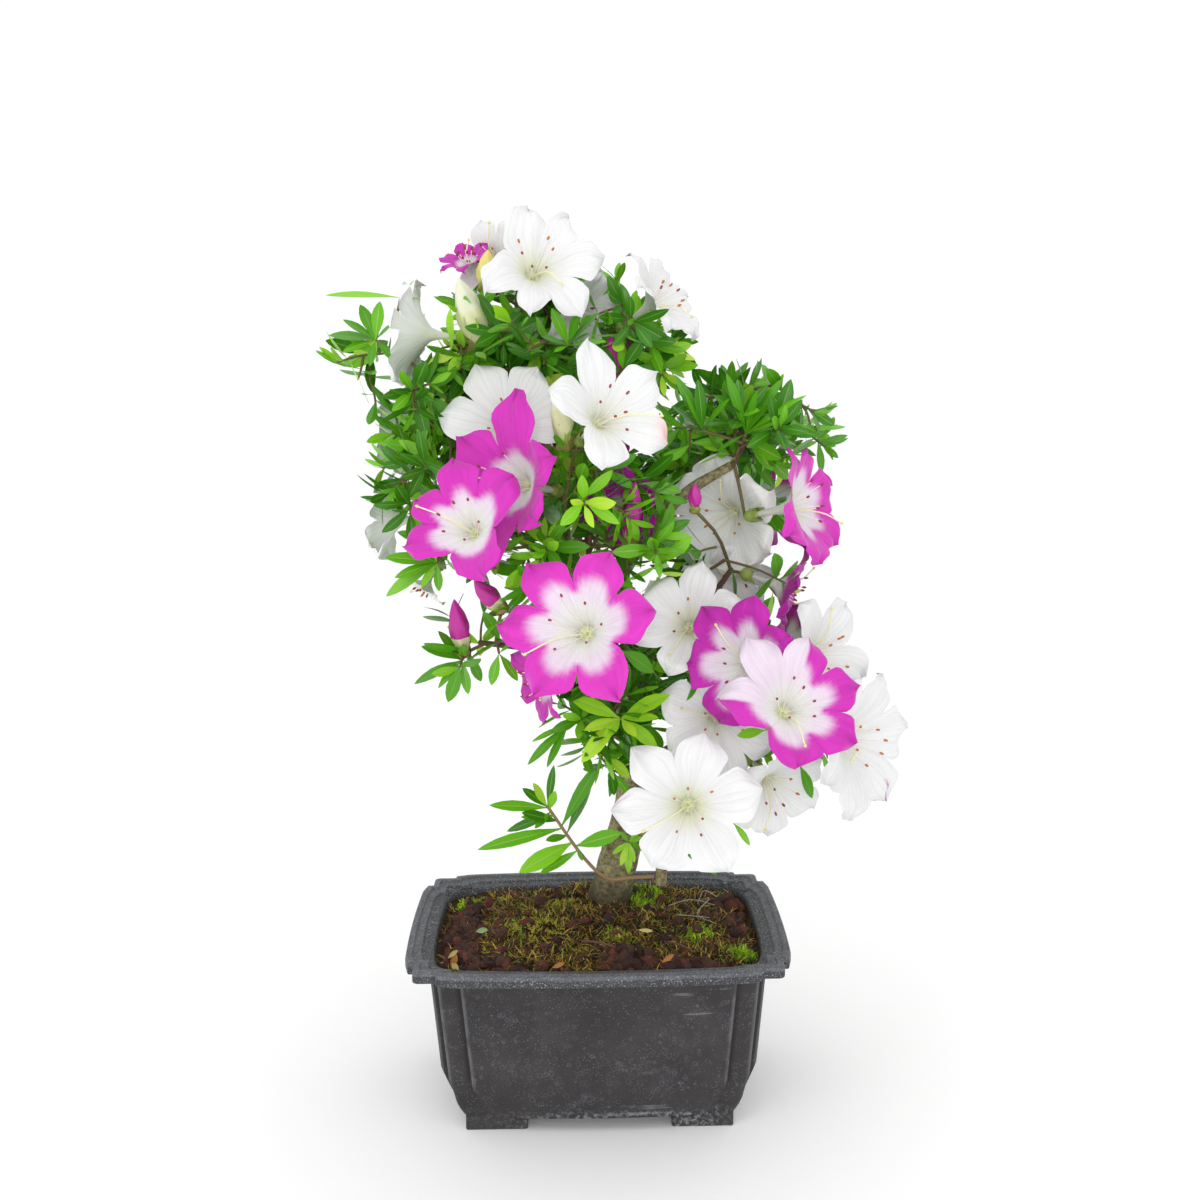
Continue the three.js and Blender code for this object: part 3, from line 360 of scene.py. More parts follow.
class Build:
    """Gathers the quads of one joined piece, with a slot for each face and values for each point."""

    def __init__(self):
        self.points, self.faces, self.slots, self.values, self.count = [], [], [], {}, 0

    def add(self, points, faces, slot=0, **values):
        points = np.asarray(points, float).reshape(-1, 3)
        self.points.append(points)
        self.faces.append(np.asarray(faces) + self.count)
        self.slots.append(np.broadcast_to(slot, (len(faces),)))
        for name, value in values.items():
            self.values.setdefault(name, []).append(np.asarray(value, float))
        self.count += len(points)

    def piece(self, name, materials, slot_name, replaces=(), flat=False):
        points, faces = np.concatenate(self.points), np.concatenate(self.faces)
        mesh = bpy.data.meshes.new(name)
        mesh.vertices.add(len(points))
        mesh.vertices.foreach_set("co", ((points + SHIFT) / 1000).astype(np.float32).ravel())
        mesh.loops.add(faces.size)
        mesh.loops.foreach_set("vertex_index", faces.astype(np.int32).ravel())
        mesh.polygons.add(len(faces))
        mesh.polygons.foreach_set("loop_start", (np.arange(len(faces)) * 4).astype(np.int32))
        mesh.polygons.foreach_set("material_index", np.concatenate(self.slots).astype(np.int32))
        mesh.update(calc_edges=True)
        mesh.validate()
        mesh.polygons.foreach_set("use_smooth", np.full(len(mesh.polygons), not flat))
        for material in materials:
            mesh.materials.append(material)
        for key, chunks in self.values.items():
            data = np.concatenate(chunks).astype(np.float32)
            if key == "uv":
                loops = np.empty(len(mesh.loops), np.int32)
                mesh.loops.foreach_get("vertex_index", loops)
                mesh.uv_layers.new(name="OFBake").data.foreach_set("uv", data[loops].ravel())
            elif data.ndim == 2:
                rgba = np.column_stack([data, np.ones(len(data), np.float32)])
                mesh.attributes.new(key, "FLOAT_COLOR", "POINT").data.foreach_set("color", rgba.ravel())
            else:
                mesh.attributes.new(key, "FLOAT", "POINT").data.foreach_set("value", data)
        piece = bpy.data.objects.new(name, mesh)
        bpy.context.scene.collection.objects.link(piece)
        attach(piece, "root")
        if replaces:
            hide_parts(*replaces)


def tube(build, line, radii, sides=6, slot=0, relief=None, first=None, cap=True):
    """A limb along a line; relief(points, angle, share, radius) pushes its skin outwards."""
    line = np.asarray(line, float)
    radii = np.broadcast_to(radii, (len(line),)).astype(float)
    if cap:
        line = np.vstack([line, line[-1] + 0.4 * radii[-1] * unit(line[-1] - line[-2])])
        radii = np.append(radii, radii[-1] * 0.05)
    side, rings = None, []
    angle = np.arange(sides) / sides * FULL_TURN
    for i, point in enumerate(line):
        tangent = unit(line[min(i + 1, len(line) - 1)] - line[max(i - 1, 0)])
        if i == 0 and first is not None:
            tangent = first
        side = axes(tangent)[0] if side is None else unit(side - tangent * side.dot(tangent))
        out = swing(side, np.cross(tangent, side), angle)
        push = radii[i] * np.ones(sides)
        if relief is not None:
            push = push + relief(point + radii[i] * out, angle, i / (len(line) - 1), radii[i])
        rings.append(point + push[:, None] * out)
    build.add(np.array(rings), grid_faces(len(line), sides, closed=True), slot)


# ---- Materials ---------------------------------------------------------------------

class Paint:
    """A material, with short ways to make and join its nodes."""

    def __init__(self, name, colour=None, roughness=0.5, specular=0.5, sheen=0.0):
        self.material = bpy.data.materials.new(name)
        self.material.use_nodes = True
        self.tree = self.material.node_tree
        self.shader = self.tree.nodes["Principled BSDF"].inputs
        if colour is not None:
            self.shader["Base Color"].default_value = (*colour, 1)
            self.material.diffuse_color = (*colour, 1)
        self.shader["Roughness"].default_value = roughness
        self.shader["Specular IOR Level"].default_value = specular
        self.shader["Sheen Weight"].default_value = sheen

    @property
    def spot(self):
        """A place on the part, in the row's frame."""
        return self.node("TexCoord", {}, "Object")

    def node(self, kind, inputs, output=0, **settings):
        """A new node with its settings and inputs set or linked; gives one of its outputs."""
        node = self.tree.nodes.new("ShaderNode" + kind)
        for key, value in settings.items():
            setattr(node, key, value)
        for key, value in inputs.items():
            if isinstance(value, bpy.types.NodeSocket):
                self.tree.links.new(value, node.inputs[key])
            else:
                node.inputs[key].default_value = value
        return node.outputs[output]

    def axis(self, number):
        return self.node("SeparateXYZ", {0: self.spot}, number)

    def value(self, attribute, output="Fac"):
        return self.node("Attribute", {}, output, attribute_name=attribute)

    def noise(self, scale, detail=4.0, rough=0.55, stretch=None, turn=(0.0, 0.0, 0.0), at=None):
        at = self.spot if at is None else at
        if stretch is not None:
            at = self.node("Mapping", {"Vector": at, "Scale": stretch, "Rotation": turn})
        values = {"Vector": at, "Scale": scale, "Detail": detail, "Roughness": rough}
        return self.node("TexNoise", values, "Fac")

    def ramp(self, factor, *stops):
        colour = self.node("ValToRGB", {"Fac": factor}, "Color")
        elements = colour.node.color_ramp.elements
        while len(elements) < len(stops):
            elements.new(0.5)
        for element, (place, shade) in zip(elements, stops):
            element.position = place
            element.color = (*shade, 1)
        return colour

    def blend(self, share, under, over, kind="MIX"):
        over = (*over, 1) if isinstance(over, tuple) else over
        return self.node("Mix", {0: share, 6: under, 7: over}, 2, data_type="RGBA", blend_type=kind)

    def math(self, operation, a, b=0.0):
        return self.node("Math", {0: a, 1: b}, operation=operation)

    def times(self, first, *others):
        for other in others:
            first = self.math("MULTIPLY", first, other)
        return first

    def band(self, value, low, high, start=0.0, end=1.0):
        ends = {"Value": value, "From Min": low, "From Max": high, "To Min": start, "To Max": end}
        return self.node("MapRange", ends, "Result", interpolation_type="SMOOTHSTEP")

    def between(self, value, low, in_full, still_full, high):
        return self.times(self.band(value, low, in_full), self.band(value, still_full, high, 1.0, 0.0))

    def finish(self, height, strength, distance, colour=None):
        if colour is not None:
            self.tree.links.new(colour, self.shader["Base Color"])
        bump = self.node("Bump", {"Height": height, "Strength": strength, "Distance": distance}, "Normal")
        self.tree.links.new(bump, self.shader["Normal"])
        return self.material


def plain_material(name, colour, roughness, grain, strength, distance=0.0004, **more):
    """A base colour with a fine grain in its surface, for the many-leaved joined pieces."""
    paint = Paint(name, colour, roughness, **more)
    return paint.finish(paint.noise(grain), strength, distance)


def plain_set(grain, *rows, **more):
    """Plain materials with one grain, from rows of name, colour, roughness and strength."""
    return [plain_material(name, colour, roughness, grain, strength, **more)
            for name, colour, roughness, strength in rows]


def petal_material():
    paint = Paint("petal", roughness=0.55, specular=0.3, sheen=0.15)
    place = paint.node("CombineXYZ", {0: paint.value("across"), 1: paint.value("along")})
    veins = paint.noise(1.0, 3.0, stretch=(9.0, 1.1, 1.0), at=place)
    shade = paint.ramp(veins, (0.36, (0.86, 0.85, 0.86)), (0.56, (1, 1, 1)))
    colour = paint.blend(0.5, paint.value("tint", "Color"), shade, "MULTIPLY")
    return paint.finish(veins, 0.6, 0.001, colour)


def bark_material():
    """Grey-brown bark with fine specks, and painted shade where it meets the soil."""
    paint = Paint("bark", roughness=0.85, specular=0.25)
    coarse, fine = paint.noise(120, 6, 0.65), paint.noise(620, 5, 0.65, stretch=(0.8, 0.8, 1.0))
    colour = paint.ramp(coarse, (0.34, (0.17, 0.145, 0.07)), (0.52, (0.368, 0.328, 0.178)),
                        (0.66, (0.5, 0.45, 0.25)))
    specks = paint.ramp(fine, (0.4, (0.35, 0.32, 0.3)), (0.56, (1, 1, 1)))
    colour = paint.blend(0.8, colour, specks, "MULTIPLY")
    # Painted shade: the bark darkens towards the soil.
    low = paint.times(paint.band(paint.axis(2), 0.092, 0.112, 1.0, 0.0), 0.9)
    colour = paint.blend(low, colour, (0.035, 0.028, 0.018))
    return paint.finish(paint.math("ADD", coarse, paint.times(fine, 0.5)), 0.7, 0.0012, colour)


def pot_material():
    """Dark weathered plastic: a rim lighter with dust and painted sheen, a painted sheen on its top faces,
    faint rings and scratches, painted shade and a painted highlight at the corner steps, lime at its lower
    edge.
    """
    paint = Paint("pot_plastic", roughness=0.6, specular=0.35)
    noise, times, band, between = paint.noise, paint.times, paint.band, paint.between
    height = paint.axis(2)
    mottle, weather, dust_and_sheen = noise(38, 6, 0.6), noise(120, 5, 0.65), noise(1300, 3, 0.75)
    rim, patchy = band(height, 0.0805, 0.0830), band(weather, 0.3, 0.6, 0.3, 1.0)

    def cells(scale):
        distance = paint.node("TexVoronoi", {"Vector": paint.spot, "Scale": scale}, "Distance")
        return distance, distance.node.outputs["Color"]

    away, tone = cells(720)
    layers = [
        # The rim: a lighter, bluer tone, partly dust and partly painted sheen.
        (times(rim, band(weather, 0.25, 0.72, 0.3, 1.0)), (0.046, 0.048, 0.055)),
        # The rim's top faces: painted sheen, lighter where the light falls on them.
        (times(band(height, 0.0856, 0.0866), band(weather, 0.25, 0.7, 0.35, 0.8)), (0.125, 0.13, 0.145)),
        # Dust on the rim, laid on thick there partly as painted sheen.
        (times(rim, band(dust_and_sheen, 0.56, 0.64), 0.85), (0.36, 0.38, 0.42)),
        (times(band(dust_and_sheen, 0.56, 0.72), band(weather, 0.38, 0.66, 0.1, 0.6)), (0.26, 0.27, 0.29)),
        (times(band(away, 0.1, 0.22, 1.0, 0.0), band(tone, 0.52, 0.6), 0.42), (0.32, 0.33, 0.36)),
    ]
    for scale, low, strength in ((235, 0.2, 0.15), (160, 0.14, 0.07)):
        away, tone = cells(scale)
        ring = between(away, low, low + 0.06, low + 0.09, low + 0.15)
        layers.append((times(ring, band(tone, 0.42, 0.6), strength, patchy), (0.25, 0.26, 0.28)))
    streaks = noise(300, 2, 0.5, stretch=(0.035, 1.0, 1.1), turn=(0.0, 0.3, 0.0))
    scuffs = noise(30, 5, 0.7, stretch=(1.0, 1.0, 2.6), turn=(0.0, 0.5, 0.0))
    layers.append((times(band(streaks, 0.66, 0.7), band(mottle, 0.45, 0.6), 0.4), (0.24, 0.25, 0.27)))
    layers.append((times(band(scuffs, 0.58, 0.72), band(dust_and_sheen, 0.4, 0.6), 0.42), (0.2, 0.21, 0.23)))
    # The steps beside the corners: a painted highlight on the edge with a line of painted shade next to it.
    across = paint.math("ABSOLUTE", paint.math("SUBTRACT", paint.axis(0), SHIFT[0] / 1000))
    slanted = paint.math("SUBTRACT", across, times(height, 0.0803))
    wall = between(height, 0.018, 0.03, 0.0805, 0.082)
    for line, depth in ((0.0594, 1.0), (0.0708, 0.8)):
        step = paint.math("SUBTRACT", slanted, line)
        # A line of painted shade in the step.
        dark = times(wall, between(step, -0.0002, 0.0005, 0.0007, 0.0034), 0.75 * depth)
        # A painted highlight along the step's edge.
        painted_edge_highlight = times(wall, between(step, -0.0024, -0.0006, -0.0004, 0.0002), patchy, 0.55 * depth)
        layers += [(dark, (0.008, 0.007, 0.008)), (painted_edge_highlight, (0.17, 0.175, 0.19))]
    lime = times(band(height, 0.0085, 0.0135, 1.0, 0.0), band(noise(420, 6, 0.75), 0.47, 0.6),
                 band(paint.math("ABSOLUTE", paint.axis(0)), 0.03, 0.062, 1.0, 0.12), 0.6)
    layers.append((lime, (0.34, 0.36, 0.38)))
    colour = paint.ramp(mottle, (0.3, (0.022, 0.0195, 0.021)), (0.55, (0.035, 0.0315, 0.033)),
                        (0.8, (0.054, 0.050, 0.052)))
    for share, shade in layers:
        colour = paint.blend(share, colour, shade)
    return paint.finish(paint.math("ADD", dust_and_sheen, times(weather, 2.0)), 0.35, 0.0004, colour)


def soil_material():
    paint = Paint("soil_bed", roughness=0.95, specular=0.2)
    coarse, fine = paint.noise(90, 8, 0.7), paint.noise(600, 6, 0.7)
    colour = paint.ramp(coarse, (0.3, (0.012, 0.007, 0.004)), (0.48, (0.05, 0.026, 0.012)),
                        (0.6, (0.1, 0.055, 0.024)), (0.75, (0.16, 0.1, 0.04)))
    colour = paint.blend(paint.band(fine, 0.3, 0.6, 0.6, 0.0), colour, (0.008, 0.005, 0.003))
    return paint.finish(paint.math("ADD", coarse, fine), 0.9, 0.002, colour)


# ---- Blooms ------------------------------------------------------------------------

def bloom_holds(bloom, point):
    """Whether a point lies in or just in front of a bloom, where no leaf should stand."""
    across = bloom["across"]
    offset = point - bloom["at"]
    height = offset @ bloom["axis"]
    radius = np.linalg.norm(offset - height * bloom["axis"])
    if not HEEL * across <= height <= 0.55 * across:
        return False
    open_share = min(max((height / across - HEEL) / 0.5, 0), 1)
    return radius < (0.08 + 0.42 * open_share) * across


WHITE = np.array([0.78, 0.785, 0.785])
BLUSH = np.array([0.76, 0.65, 0.76])
PINK = np.array([0.66, 0.03, 0.48])
DEEP_PINK = np.array([0.44, 0.004, 0.34])
THROAT = np.array([0.70, 0.76, 0.42])
WITHERED = np.array([0.80, 0.42, 0.40])


def petal_tint(bloom, lobe, u, rr, streak):
    """The colour of a petal at a share u across and rr along it, from throat to tip."""
    look, green = bloom["look"], bloom.get("green", 0.35)
    plain = look == "white"
    # A bloom that sits in shade gets a whiter white here: painted light.
    white = np.minimum(WHITE * bloom.get("pale", 1.0), 0.95)
    colour = mix(white, white if plain else BLUSH, smooth(0.2, 0.5, rr)[..., None])
    throat = smooth(0.42, 0.08, rr + 0.05 * streak) * min(green + 0.25, 1)
    colour = mix(colour, THROAT, (throat * (0.7 if plain else 0.45))[..., None])
    if not plain:
        edge = mix(PINK, DEEP_PINK, bloom.get("deep", 0.0))
        line = rr + 0.24 * np.abs(u) ** 1.8 * smooth(0.3, 0.5, rr)
        line = line + 0.022 * streak - bloom.get("margin", 0.0)
        tone = smooth(0.53, 0.71, line)
        if look == "sector":
            white_part = {0: u > -9, 1: u > -0.02, 5: u < 0.1}.get(lobe, u > 9)
            tone = np.where(white_part, 0.0, tone)
        darker = 1 - 0.2 * smooth(0.4, 0.0, np.abs(u)) * smooth(0.5, 1, rr) + 0.08 * streak
        colour = mix(colour, np.clip(edge * darker[..., None], 0, 1), tone[..., None])
    for fleck_lobe, fleck_at, fleck_width in bloom.get("flecks", ()):
        if fleck_lobe == lobe:
            mark = smooth(fleck_width, 0.3 * fleck_width, np.abs(u - fleck_at)) * smooth(0.72, 0.8, rr)
            colour = mix(colour, DEEP_PINK, mark[..., None])
    if bloom.get("blush") == lobe:
        colour = mix(colour, WITHERED, (0.85 * smooth(0.6, 0.95, rr) * smooth(-0.6, 0.8, u))[..., None])
    return colour


PETAL_STATIONS = [0, 0.1, 0.2, 0.3, 0.42, 0.54, 0.68, 0.84, 1]
PETAL_RADII = [0.02, 0.026, 0.036, 0.062, 0.13, 0.22, 0.315, 0.415, 0.5]
PETAL_HEIGHTS = [-0.29, -0.14, -0.02, 0.05, 0.115, 0.18, 0.235, 0.275, 0.29]
LOBE_STATIONS = [0, 0.2, 0.4, 0.58, 0.74, 0.87, 0.95, 1]
LOBE_WIDTHS = [1, 1.07, 1.03, 0.86, 0.6, 0.33, 0.15, 0.02]
STAMENS = 6


def petal_grid(bloom, index, angles, reach, random):
    """Points of one petal, from the heel of the funnel to the tip of its lobe."""
    across, notch = bloom["across"], bloom.get("notch", 0.255) + 0.03 * random()
    rows, columns = 24, 15
    v = np.linspace(0, 1, rows)[:, None]
    u = np.linspace(-1, 1, columns)[None, :]
    before, here, after = angles
    plain_radius = np.interp(v, PETAL_STATIONS, PETAL_RADII)
    height = np.interp(v, PETAL_STATIONS, PETAL_HEIGHTS)
    t = np.clip((plain_radius - notch) / (0.5 - notch), 0, 1)
    radius = np.where(plain_radius > notch, notch + (0.5 * reach - notch) * t, plain_radius)
    sector = 0.5 * np.where(u > 0, after - here, here - before)
    widest = 0.162 + 0.5 * max(notch - 0.28, 0)
    at_notch = np.clip(notch * np.tan(np.minimum(sector, math.radians(38))), 0.105, widest)
    outline = np.interp(t, LOBE_STATIONS, LOBE_WIDTHS)
    phase = 6.3 * random()
    outline = outline * (1 + 0.05 * np.sin(7 * t + phase + 2 * np.sign(u)) * np.abs(u))
    side, other = axes(bloom["axis"])
    fused = radius[..., None] * swing(side, other, here + u * sector)
    lobe = (radius[..., None] * swing(side, other, here)
            + (u * at_notch * outline)[..., None] * swing(side, other, here + math.pi / 2))
    flat = mix(fused, lobe, smooth(0.78 * notch, 1.12 * notch, radius)[..., None])
    out = smooth(notch * 0.85, 0.5, radius)
    ruffle = bloom.get("ruffle", 1.0)
    wave = np.sin(16 * v + phase + 1.2 * np.sign(u)) * np.abs(u) ** 2.2 * 0.024 * ruffle
    wave = wave + 0.009 * np.sin(34 * v + 2.3 * phase) * np.abs(u) ** 4 * ruffle
    wave = wave + 0.015 * np.sin(5 * u + 9 * v + 2 * phase) * ruffle
    wave = wave * (1 - 0.8 * smooth(0.75, 1, t))
    groove = -0.02 * np.exp(-(u * 5.5) ** 2) - 0.035 * u ** 2
    curl = bloom.get("curl", 0.05) * smooth(0.5, 1, t) * mix(0.4, 1.4, random())
    lift = height + out * (wave + 0.035 * u + groove) - curl
    points = bloom["at"] + across * (flat + lift[..., None] * bloom["axis"])
    streak = (np.sin(17 * u + 5 * phase) + np.sin(31 * u + 3 * phase) * 0.7 + np.sin(7 * u + phase)) / 2.7
    rr = np.where(plain_radius > notch, mix(2 * notch, 1, t), 2 * plain_radius)
    rr, u_all, v_all, streak = (np.broadcast_to(a, points.shape[:2]) for a in (rr, u, v, streak))
    return points, petal_tint(bloom, index, u_all, rr, streak), u_all, v_all


def lay_out_blooms():
    edged, white, parts = Build(), Build(), Build()
    cells = {"edged": 0, "white": 0}
    for number, bloom in enumerate(BLOOMS):
        random = stream(SEED + 31 * number)
        for _ in range(4):
            random()
        kind = "white" if bloom["look"] == "white" else "edged"
        build, across_cells = (white, 12) if kind == "white" else (edged, 10)
        count = 6 if number % 5 else 5
        lobes = bloom.get("lobes")
        if lobes is None:
            start = 360 * random()
            lobes = [start + k * 360 / count + 12 * (random() - 0.5) for k in range(count)]
        order = sorted(range(len(lobes)), key=lambda k: lobes[k] % 360)
        turns = [math.radians(lobes[k] % 360) for k in order]
        for place, k in enumerate(order):
            before = turns[place - 1] - (FULL_TURN if place == 0 else 0)
            after = turns[(place + 1) % len(turns)] + (FULL_TURN if place == len(turns) - 1 else 0)
            reach = mix(0.94, 1.04, random()) * bloom.get("reach", (1,) * 6)[k]
            points, tint, u, v = petal_grid(bloom, k, (before, turns[place], after), reach, random)
            rows, columns = u.shape
            cell = cells[kind]
            cells[kind] += 1
            row, column = divmod(cell, across_cells)
            uv = np.stack([(column + 0.06 + 0.88 * (u + 1) / 2) / across_cells,
                           (row + 0.06 + 0.88 * v) / across_cells], -1)
            build.add(points, grid_faces(rows, columns), 0, tint=tint.reshape(-1, 3),
                      across=(u + 2.7 * number + 9.1 * k).ravel(), along=v.ravel(), uv=uv.reshape(-1, 2))
        add_stamens(parts, bloom, random)
    return edged, white, parts


def add_stamens(parts, bloom, random):
    """Filaments with anthers, a longer pistil, and the calyx behind the funnel."""
    across, axis = bloom["across"], bloom["axis"]
    side, other = axes(axis)

    def place(radius, height, angle=0.0):
        return bloom["at"] + across * (height * axis + radius * swing(side, other, angle))

    def thread(angle, count, *spots):
        return smooth_line([place(radius, height, angle) for radius, height in spots], count)

    turn = 6.28 * random()
    for i in range(STAMENS):
        angle = turn + i * FULL_TURN / STAMENS + 0.7 * (random() - 0.5)
        far = mix(0.09, 0.19, random())
        line = thread(angle, 9, (0.012, -0.08), (0.035, 0.03), (far * 0.62, 0.18),
                      (far, mix(0.27, 0.34, random())))
        tube(parts, line, np.linspace(0.34, 0.2, 9), 5, 0)
        direction = unit(line[-1] - line[-2] + 0.8 * jitter(random))
        pod = line[-1] + np.linspace(-0.9, 1.3, 6)[:, None] * direction
        orange = bloom.get("anthers") == "orange" or (bloom["look"] == "white" and random() < 0.4)
        tube(parts, pod, np.array([0.18, 0.5, 0.58, 0.58, 0.5, 0.18]), 6, 2 if orange else 1)
    angle = math.radians(bloom.get("pistil", 360 * random()))
    line = thread(angle, 12, (0.0, -0.08), (0.03, 0.06), (0.15, 0.27), (0.33, 0.36))
    tube(parts, line, np.linspace(0.45, 0.32, 12), 6, 3)
    knob = line[-1] + np.linspace(-0.5, 1.3, 5)[:, None] * unit(line[-1] - line[-2])
    tube(parts, knob, np.array([0.3, 0.6, 0.7, 0.55, 0.2]), 7, 4)
    pit = np.array([[place(r, h, FULL_TURN * k / 10) for k in range(10)]
                    for r, h in ((0.05, 0.012), (0.034, 0.0), (0.014, -0.005), (0.001, -0.004))])
    parts.add(pit, grid_faces(4, 10, closed=True), np.repeat([6, 6, 7], 10))
    heel = [place(0, height) for height in (-0.34, -0.32, -0.29, -0.25, -0.21)]
    tube(parts, heel, np.array([0.9, 2.4, 3.2, 3.1, 2.4]), 9, 5, cap=False)
    scales(parts, place(0, -0.33), axis, 0.17 * across, 0.1 * across, 5, 5, turn)


# Along a scale: share of its length, how far out it stands, and half its width.
SCALE = ((0, 0.1, 0.25), (0.3, 0.38, 0.42), (0.6, 0.52, 0.36), (0.85, 0.66, 0.18), (1, 0.8, 0.02))


def scales(build, foot, axis, length, spread, count, slot, turn):
    """Pointed scales that clasp the foot of a bloom or bud."""
    side, other = axes(axis)
    for k in range(count):
        out = swing(side, other, turn + FULL_TURN * k / count)
        wide = np.cross(axis, out)
        rise = 1 - 0.28 * (k % 2)
        rows = []
        for share, radial, half in SCALE:
            spot = foot + axis * length * share * rise + out * spread * radial
            sideways, inwards = wide * spread * half, out * 0.1 * spread * half
            rows.append([spot - sideways - inwards, spot, spot + sideways - inwards])
        build.add(np.array(rows), grid_faces(5, 3), slot)


# ---- Leaves and twigs --------------------------------------------------------------

LEAF_STATIONS = np.array([0, 0.1, 0.26, 0.44, 0.61, 0.78, 0.92, 1.0])
LEAF_WIDTHS = np.array([0.09, 0.22, 0.62, 0.92, 1.0, 0.8, 0.42, 0.04])
ACROSS = np.array([-1, -0.5, -0.07, 0.07, 0.5, 1])


class Leaves:
    """All the leaves of one joined piece, kept as frames until they are meshed together."""

    def __init__(self):
        self.rows = []

    def add(self, root, direction, normal, length, width, tint, bend, fold, twist=0.0):
        self.rows.append((root, direction, normal, length, width, tint, bend, fold, twist))

    def build(self, rib_slot):
        fields = [np.array(field) for field in zip(*self.rows)]
        root, direction, normal, length, width, tint, bend, fold, twist = fields
        across = np.cross(direction, normal)
        across /= np.linalg.norm(across, axis=1)[:, None]
        s = LEAF_STATIONS[None, :, None]
        y = ACROSS[None, None, :]
        half = 0.5 * width[:, None, None] * LEAF_WIDTHS[None, :, None] * y
        along = length[:, None, None] * s * np.ones_like(y)
        rise = -bend[:, None, None] * length[:, None, None] * s ** 2 + fold[:, None, None] * np.abs(half)
        rise = rise - 0.12 * np.where(np.abs(y) > 0.9, 1, 0) * np.abs(half) * fold[:, None, None] * 4
        rise = rise + twist[:, None, None] * half * s * 1.5
        along = along * (1 - 0.35 * bend[:, None, None] ** 2 * s)
        points = (root[:, None, None] + along[..., None] * direction[:, None, None]
                  + half[..., None] * across[:, None, None] + rise[..., None] * normal[:, None, None])
        rows, columns = len(LEAF_STATIONS), len(ACROSS)
        one = grid_faces(rows, columns)
        faces = one[None] + (np.arange(len(root)) * rows * columns)[:, None, None]
        strip = np.tile(np.arange(columns - 1), rows - 1)
        slots = np.where(strip[None] == 2, rib_slot[tint][:, None], tint[:, None])
        build = Build()
        build.add(points, faces.reshape(-1, 4), slots.ravel())
        return build


def in_sky(point):
    return any(np.linalg.norm((point - vec(middle)) / vec(reach)) < 1 for middle, reach in SKY)


def whorl(leaves, mass, frm, tip, lean, random, tint, scale, count):
    """One rosette: the lowest leaves spread widest, the young ones stand up."""
    along = unit(tip - frm)
    side, other = axes(along)
    turn = 6.28 * random()
    for i in range(count):
        age = 1 - i / count
        angle = turn + i * GOLDEN + 0.4 * (random() - 0.5)
        spread = math.radians(mix(26, 80, age) + 14 * (random() - 0.5))
        radial = swing(side, other, angle)
        direction = unit(along * math.cos(spread) + radial * math.sin(spread) + lean * 0.3)
        normal = unit(along - direction * along.dot(direction) + 0.16 * jitter(random))
        normal = unit(normal - direction * normal.dot(direction))
        size = mix(0.6, 1, age ** 0.6) * mix(0.78, 1.15, random()) * scale
        root = tip - along * (0.4 + LEAF["spacing"] * (count - 1 - i))
        bend, fold, twist = mix(0.02, 0.2, random()), mix(0.05, 0.34, random()), 0.5 * (random() - 0.5)
        slim = mix(0.82, 1.12, random())
        for share in LEAF["fits"]:
            length = LEAF["length"] * size * share
            end = root + direction * length
            middle = root + direction * length * 0.55
            reach = np.linalg.norm((end - mass["centre"]) / mass["reach"])
            taken = any(bloom_holds(b, end) or bloom_holds(b, middle) for b in mass["near"])
            if reach > LEAF["reach"] or in_sky(end) or taken:
                continue
            young = age < 0.4 and random() < 0.6
            leaves.add(root, direction, normal, length, LEAF["width"] * size * share * slim,
                       min(tint + (2 if young else 0), LAST_GREEN), bend, fold, twist)
            break


def fork_on(branch, end):
    frm, to = branch
    way = to - frm
    distance = np.linalg.norm(way)
    level = float(np.clip((end - frm) @ way / distance ** 2, 0, 1))
    gap = np.linalg.norm(frm + way * level - end)
    return frm + way * float(np.clip(level - 0.35 * gap / distance, 0.2, 0.94))


def grow_twig(twigs, branches, end, thick, thin, random, slot=0, sides=5):
    start = min((fork_on(branch, end) for branch in branches), key=lambda p: np.linalg.norm(p - end))
    length = np.linalg.norm(end - start)
    sag = 0.1 * length * vec(random() - 0.5, random() - 0.5, random() - 0.2)
    line = smooth_line([start, mix(start, end, 0.5) + sag, end], 6)
    tube(twigs, line, np.linspace(thick, thin, 6), sides, slot)
    branches.append((start, end))
    return line


def on_ball(z, angle):
    flat = math.sqrt(1 - z * z)
    return vec(flat * math.cos(angle), flat * math.sin(angle), z)


